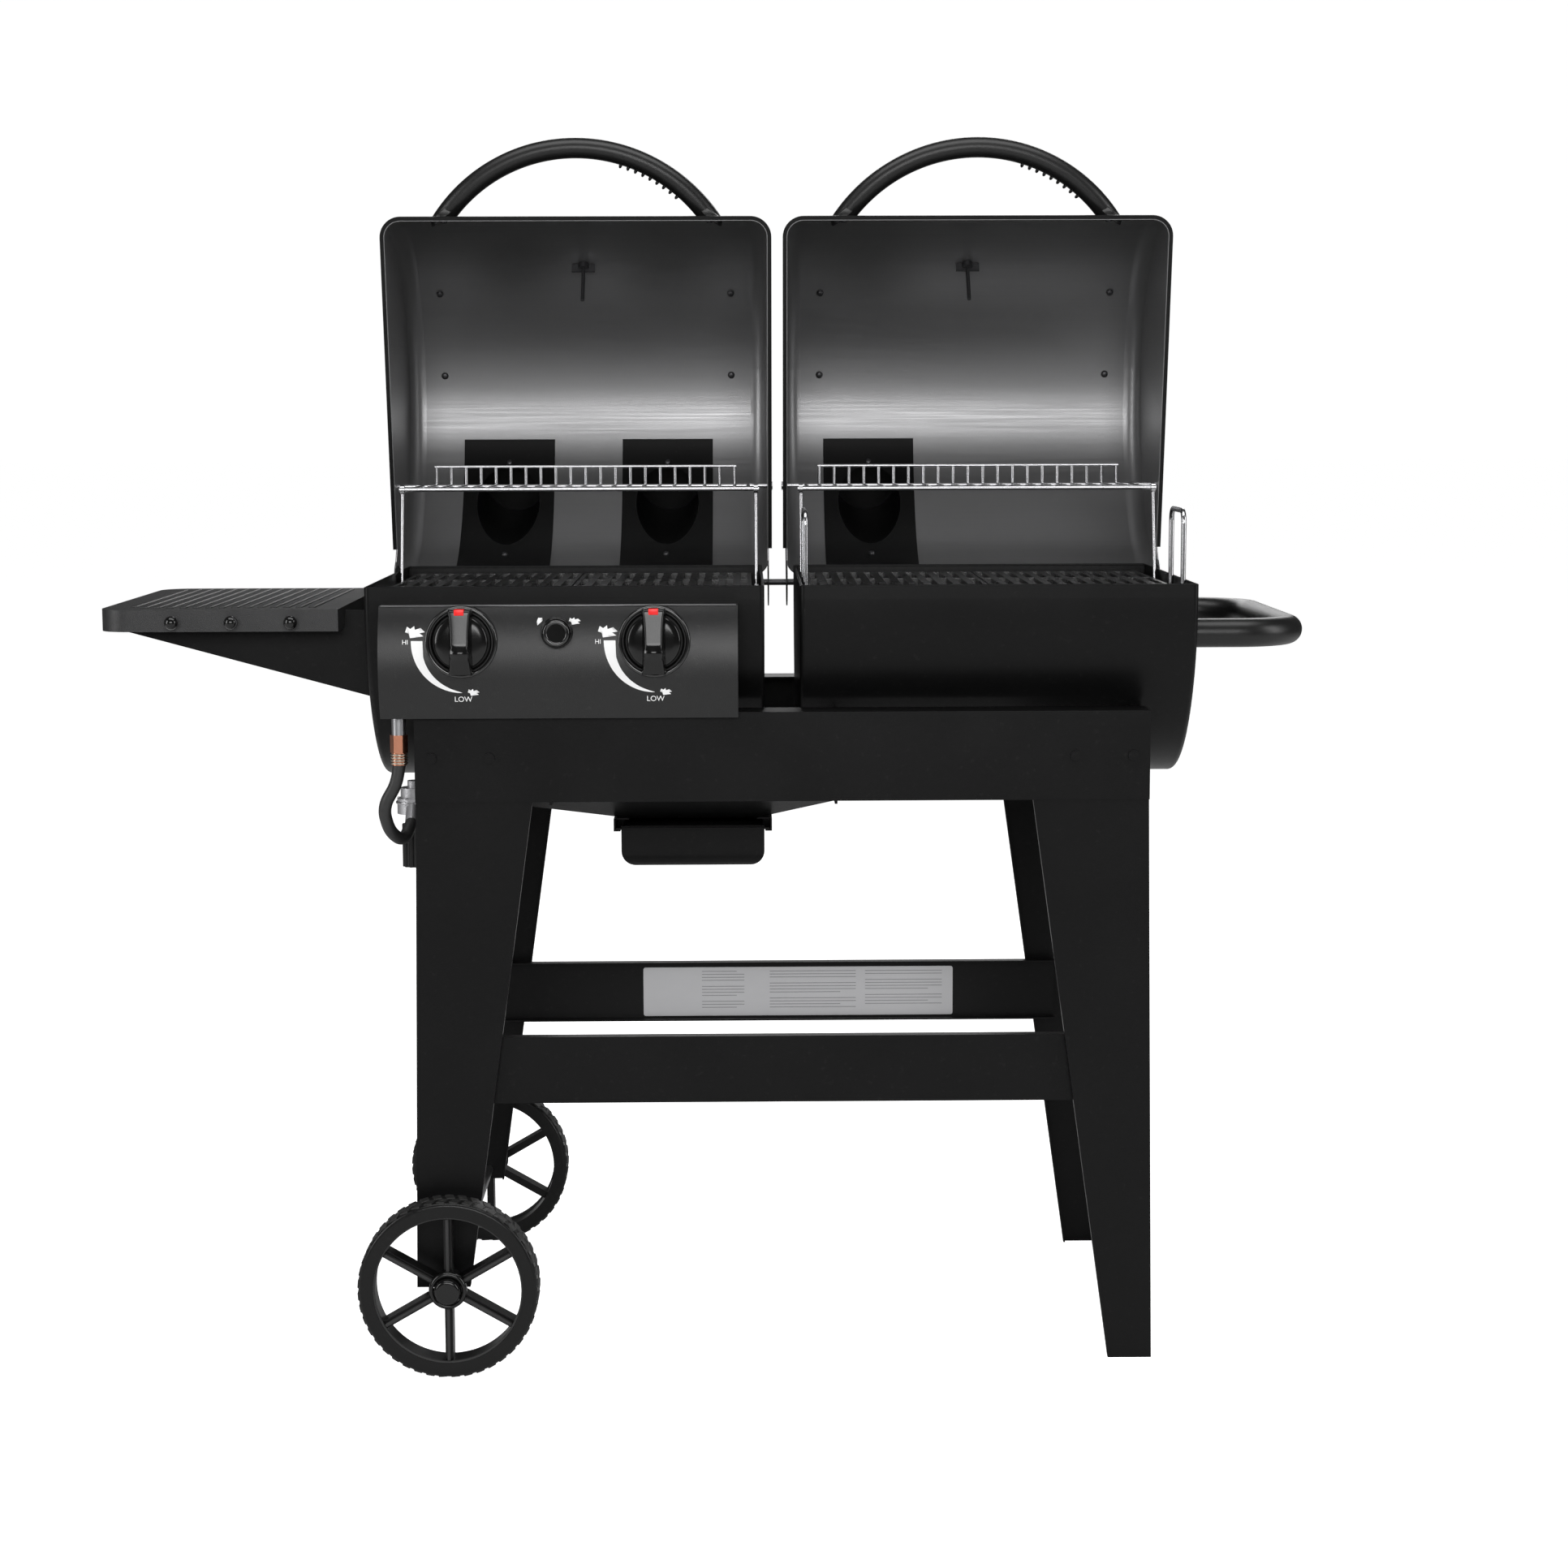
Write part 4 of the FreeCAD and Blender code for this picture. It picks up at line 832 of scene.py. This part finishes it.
class GRILL_OT_lid_fittings(bpy.types.Operator):
    """Finger ribs, handle feet and small bolts of both lids"""
    bl_idname = "grill.lid_fittings"
    bl_label = "Lid fittings"

    def execute(self, context):
        sizes = context.scene.grill_sizes
        opening = lid_opening()
        for side in SIDES:
            mid_x = middle(side + "_lid_handle").x
            self.grip_ribs(side, mid_x, opening, sizes)
            self.handle_feet(side, mid_x, opening)
            self.bolts(side, opening)
        return {"FINISHED"}

    def grip_ribs(self, side, mid_x, opening, sizes):
        """Bumps along the inside of the arch, on its right-hand half."""
        first, spread = 17, 24
        centre = Vector((mid_x, -HANDLE_REACH + HANDLE_ARC, HANDLE_HEIGHT))
        bm = bmesh.new()
        for i in range(sizes.grip_ribs):
            angle = math.radians(first + spread * i / (sizes.grip_ribs - 1))
            along = Vector((math.sin(angle), -math.cos(angle), 0))
            seat = centre + along * (HANDLE_ARC - HANDLE_TUBE)
            turn = Matrix.Rotation(angle, 4, "Z")
            squash = Matrix.Diagonal((0.0022, 0.0042, 0.0075, 1))
            bmesh.ops.create_uvsphere(bm, u_segments=16, v_segments=8, radius=1.0,
                                      matrix=Matrix.Translation(seat) @ turn @ squash)
        place(bm, side + "_grip_ribs", side + "_lid", "grip_foam", opening)

    def handle_feet(self, side, mid_x, opening):
        """Flared collar where each end of the arch meets the lid."""
        bm = bmesh.new()
        for foot in (-1, 1):
            seat = Vector((mid_x + foot * 0.1655, -0.2245, 0.9145))
            out = Vector((foot * 0.62, -0.785, 0.0))
            add_round(bm, seat + out * 0.004, out, 0.0185, 0.009, 40, 0.0145)
        soft_edges(bm, 0.0012, 2)
        place(bm, side + "_handle_feet", side + "_lid", "grip_foam", opening)

    def bolts(self, side, opening):
        """Round bolt heads on the stack plates, the end panels and behind the handle."""
        mid_x = middle(side + "_lid").x
        rows = ((self.stack_centres(side), (58.0, 17.0)),
                ((mid_x - 0.165, mid_x + 0.165), (171.0,)),
                ((mid_x - 0.19, mid_x + 0.19), (88.0, 118.0)))
        spots = [(x, degrees) for across, around_lid in rows for x in across for degrees in around_lid]
        bm = bmesh.new()
        for x, degrees in spots:
            a = math.radians(degrees)
            out = Vector((0, math.cos(a), math.sin(a)))
            seat = Vector((x, 0, LID_AXIS_Z)) + out * (LID_LINING - 0.0012)
            add_round(bm, seat, -out, 0.0048, 0.0036, 20, 0.0032)
        soft_edges(bm, 0.0004, 1)
        place(bm, side + "_lid_bolts", side + "_lid", "dark_steel", opening)

    def stack_centres(self, side):
        """Middle of each stack on a lid, along X."""
        low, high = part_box("charcoal_smokestack" if side == "charcoal" else "gas_smokestacks")
        half = 0.060
        if side == "charcoal":
            return [(low[0] + high[0]) / 2]
        return [low[0] + half, high[0] - half]


# ------------------------------------------------------------ plates, rims and gas line


class GRILL_OT_rating_plate(bpy.types.Operator):
    """Blank silver plate on the rear bar"""
    bl_idname = "grill.rating_plate"
    bl_label = "Rating plate"

    def execute(self, context):
        low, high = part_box("rear_lower_bar")
        y = high[1] - 0.0021
        left, right, thick = -0.176, 0.226, 0.0004
        bm = bmesh.new()
        add_block(bm, (left, y - thick, low[2] + 0.0045), (right, y, high[2] - 0.0085))
        corners = [e for e in bm.edges if abs(e.verts[0].co.y - e.verts[1].co.y) > thick / 2]
        bmesh.ops.bevel(bm, geom=corners, offset=0.003, segments=4, profile=0.5, affect="EDGES",
                        material=-1)
        place(bm, "rating_plate", "cart", "silver_label", smooth=False)
        self.fine_lines(low, high, y - thick)
        return {"FINISHED"}

    def fine_lines(self, low, high, y):
        """Rows of plain grey bars in place of wording."""
        bm = bmesh.new()
        columns = ((-0.100, 0.055), (-0.012, 0.112), (0.112, 0.100))
        rows = 13
        top = high[2] - 0.0135
        pitch = (top - low[2] - 0.012) / rows
        for column, (start, width) in enumerate(columns):
            for i in range(rows):
                if (i + column) % 5 == 4:
                    continue
                short = 0.82 if (i * 7 + column * 3) % 4 == 0 else 1.0
                z = top - i * pitch
                add_block(bm, (start, y - 0.0001, z - 0.0009),
                          (start + width * short, y + 0.0001, z))
        place(bm, "rating_plate_lines", "cart", "grey_print", smooth=False)


class GRILL_OT_folds(bpy.types.Operator):
    """Rolled folds along the panel's top and the lids' free edges, the panel's fold coloured lighter as
    a painted highlight
    """
    bl_idname = "grill.folds"
    bl_label = "Sheet folds"

    def execute(self, context):
        low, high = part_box("control_panel")
        bm = bmesh.new()
        add_round(bm, Vector(((low[0] + high[0]) / 2, low[1] + 0.0190, high[2] - 0.0002)), (1, 0, 0),
                  0.0012, high[0] - low[0] - 0.004, 12)
        soft_edges(bm, 0.0004, 1)
        # The panel's fold is coloured lighter than the panel: a painted highlight along its top edge.
        place(bm, "panel_fold_highlight_bead", "cart", "painted_highlight_steel")
        self.lid_rolls()
        return {"FINISHED"}

    def lid_rolls(self):
        """Round roll along the free edge of each lid."""
        opening = lid_opening()
        for side in SIDES:
            low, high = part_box(side + "_lid")
            bm = bmesh.new()
            add_round(bm, Vector(((low[0] + high[0]) / 2, -0.2262, 0.8842)), (1, 0, 0), 0.0030,
                      high[0] - low[0] - 0.046, 16)
            soft_edges(bm, 0.001, 2)
            place(bm, side + "_lid_roll", side + "_lid", "barrel_paint", opening)


class GRILL_OT_gas_trim(bpy.types.Operator):
    """Crimps of the hose ferrule, and the regulator's rim and screws"""
    bl_idname = "grill.gas_trim"
    bl_label = "Gas line trim"

    def execute(self, context):
        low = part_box("gas_fittings")[0]
        centre = middle("gas_fittings")
        crimps, pitch = 4, 0.0032
        bm = bmesh.new()
        for i in range(crimps):
            z = low[2] + 0.0022 + i * pitch
            add_ring(bm, [(0.0084, -0.0013), (0.0096, -0.0006), (0.0096, 0.0006), (0.0084, 0.0013)],
                     Vector((centre.x, centre.y, z)), (0, 0, 1), 32)
        place(bm, "hose_ferrule_crimps", "cart", "ferrule_steel")
        self.regulator()
        return {"FINISHED"}

    def regulator(self):
        """Rim round the regulator's body with a ring of screws on top."""
        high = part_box("cylinder_handwheel")[1]
        centre = middle("cylinder_handwheel")
        base = high[2] + 0.0134
        screws, circle = 6, 0.0180
        bm = bmesh.new()
        add_ring(bm, [(0.0165, -0.0015), (0.0212, -0.0015), (0.0216, 0.0), (0.0212, 0.0015),
                      (0.0165, 0.0015)],
                 Vector((centre.x, centre.y, base + 0.012)), (0, 0, 1), 64)
        for i in range(screws):
            a = math.tau * i / screws
            seat = (centre.x + circle * math.cos(a), centre.y + circle * math.sin(a), base + 0.0165)
            add_round(bm, Vector(seat), (0, 0, 1), 0.0022, 0.003, 6)
        soft_edges(bm, 0.0003, 1)
        place(bm, "regulator_rim", "cart", "cast_zinc")


class GRILL_OT_tub_rims(bpy.types.Operator):
    """Folded band round the rim of each tub"""
    bl_idname = "grill.tub_rims"
    bl_label = "Tub rims"

    def execute(self, context):
        for side in SIDES:
            low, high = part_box(side + "_tub")
            bm = bmesh.new()
            wall = 0.0016
            add_block(bm, (low[0] + wall, low[1] + wall, high[2] - 0.0014),
                      (high[0] - wall, high[1] - wall, high[2] + 0.0008))
            ends = [f for f in bm.faces if abs(f.normal.z) > 0.9]
            bmesh.ops.delete(bm, geom=ends, context="FACES")
            bmesh.ops.solidify(bm, geom=bm.faces[:], thickness=wall)
            soft_edges(bm, 0.0004, 2)
            place(bm, side + "_tub_rim", "cart", "barrel_paint", smooth=False)
        return {"FINISHED"}


# ------------------------------------------------------------ stage


def area_light(name, place_at, aim, size, size_y, power):
    data = bpy.data.lights.new(name, "AREA")
    data.shape = "RECTANGLE"
    data.size = size
    data.size_y = size_y
    data.energy = power
    lamp = bpy.data.objects.new(name, data)
    lamp.location = place_at
    lamp.rotation_euler = (Vector(aim) - Vector(place_at)).to_track_quat("-Z", "Y").to_euler()
    bpy.context.scene.collection.objects.link(lamp)


class GRILL_OT_stage(bpy.types.Operator):
    """Pale floor, soft studio light and the camera"""
    bl_idname = "grill.stage"
    bl_label = "Stage"

    def execute(self, context):
        scene = context.scene
        self.floor()
        self.world(scene)
        scene.view_settings.view_transform = "Standard"
        area_light("front_strip", (0.0, -4.4, 2.0), (0, 0.2, 1.0), 3.0, 1.3, 95)
        area_light("top_softbox", (0.0, -0.6, 3.4), (0, 0.0, 0.8), 3.4, 1.4, 60)
        area_light("left_softbox", (-3.4, -1.6, 1.7), (0, 0, 0.9), 0.9, 2.4, 50)
        area_light("right_softbox", (3.4, -1.2, 1.8), (0, 0, 0.9), 0.9, 2.4, 45)
        area_light("rear_softbox", (0.5, 3.2, 2.4), (0, 0, 0.9), 2.4, 1.6, 40)
        self.camera(scene)
        return {"FINISHED"}

    def world(self, scene):
        """White to look at, and a low grey glow as light."""
        world = bpy.data.worlds.new("studio")
        world.use_nodes = True
        tree = world.node_tree
        glow = tree.nodes["Background"]
        glow.inputs["Color"].default_value = (1, 1, 1, 1)
        path = tree.nodes.new("ShaderNodeLightPath")
        seen = math_node(tree, "MULTIPLY", path.outputs["Is Camera Ray"], CAMERA_WHITE)
        glow_as_light = 0.06
        tree.links.new(math_node(tree, "ADD", seen, glow_as_light), glow.inputs["Strength"])
        scene.world = world

    def floor(self):
        """Pale floor, white to the camera only, so that it meets the surround with no hard line."""
        bm = bmesh.new()
        bmesh.ops.create_grid(bm, x_segments=2, y_segments=2, size=60.0)
        mesh = bpy.data.meshes.new("floor")
        bm.to_mesh(mesh)
        bm.free()
        paper = coated("floor_paper", (0.82, 0.82, 0.82, 1), 0.8, lighten=1.03, bump=0.0, specular=0.1)
        tree = paper.node_tree
        shader = tree.nodes["Principled BSDF"]
        shader.inputs["Emission Color"].default_value = (1, 1, 1, 1)
        path = tree.nodes.new("ShaderNodeLightPath")
        tree.links.new(math_node(tree, "MULTIPLY", path.outputs["Is Camera Ray"], CAMERA_WHITE),
                       shader.inputs["Emission Strength"])
        mesh.materials.append(paper)
        floor = bpy.data.objects.new("floor", mesh)
        bpy.context.scene.collection.objects.link(floor)

    def camera(self, scene):
        data = bpy.data.cameras.new("camera")
        data.sensor_width = 36.0
        data.lens = 66.97
        camera = bpy.data.objects.new("camera", data)
        camera.location = (-0.0427, -3.5000, 1.0900)
        yaw, pitch, roll = (math.radians(a) for a in (0.77, 7.32, 0.18))
        aim = Matrix.Rotation(-yaw, 4, "Z") @ Matrix.Rotation(math.pi / 2 - pitch, 4, "X")
        camera.rotation_euler = (aim @ Matrix.Rotation(-roll, 4, "Z")).to_euler()
        scene.collection.objects.link(camera)
        scene.camera = camera


STEPS = ("finishes", "treads", "shelf_ribs", "panel_print", "knobs", "gauges", "lid_fittings",
         "rating_plate", "folds", "gas_trim", "tub_rims", "stage")


class GRILL_PT_panel(bpy.types.Panel):
    """Buttons for each group of pieces"""
    bl_label = "Twin Barrel Grill"
    bl_idname = "GRILL_PT_panel"
    bl_space_type = "VIEW_3D"
    bl_region_type = "UI"
    bl_category = "Grill"

    def draw(self, context):
        layout = self.layout
        for group in (context.scene.grill_sizes, context.scene.grill_colours):
            for prop in group.bl_rna.properties:
                if prop.identifier not in ("rna_type", "name"):
                    layout.prop(group, prop.identifier)
        for step in STEPS:
            layout.operator("grill." + step)


CLASSES = (GrillSizes, GrillColours, GRILL_OT_finishes, GRILL_OT_treads, GRILL_OT_shelf_ribs,
           GRILL_OT_panel_print, GRILL_OT_knobs, GRILL_OT_gauges, GRILL_OT_lid_fittings,
           GRILL_OT_rating_plate, GRILL_OT_folds, GRILL_OT_gas_trim, GRILL_OT_tub_rims,
           GRILL_OT_stage, GRILL_PT_panel)


def register():
    for cls in CLASSES:
        bpy.utils.register_class(cls)
    bpy.types.Scene.grill_sizes = bpy.props.PointerProperty(type=GrillSizes)
    bpy.types.Scene.grill_colours = bpy.props.PointerProperty(type=GrillColours)


def unregister():
    del bpy.types.Scene.grill_colours
    del bpy.types.Scene.grill_sizes
    for cls in reversed(CLASSES):
        bpy.utils.unregister_class(cls)


def main():
    register()
    for step in STEPS:
        getattr(bpy.ops.grill, step)()


if __name__ == "__main__":
    main()
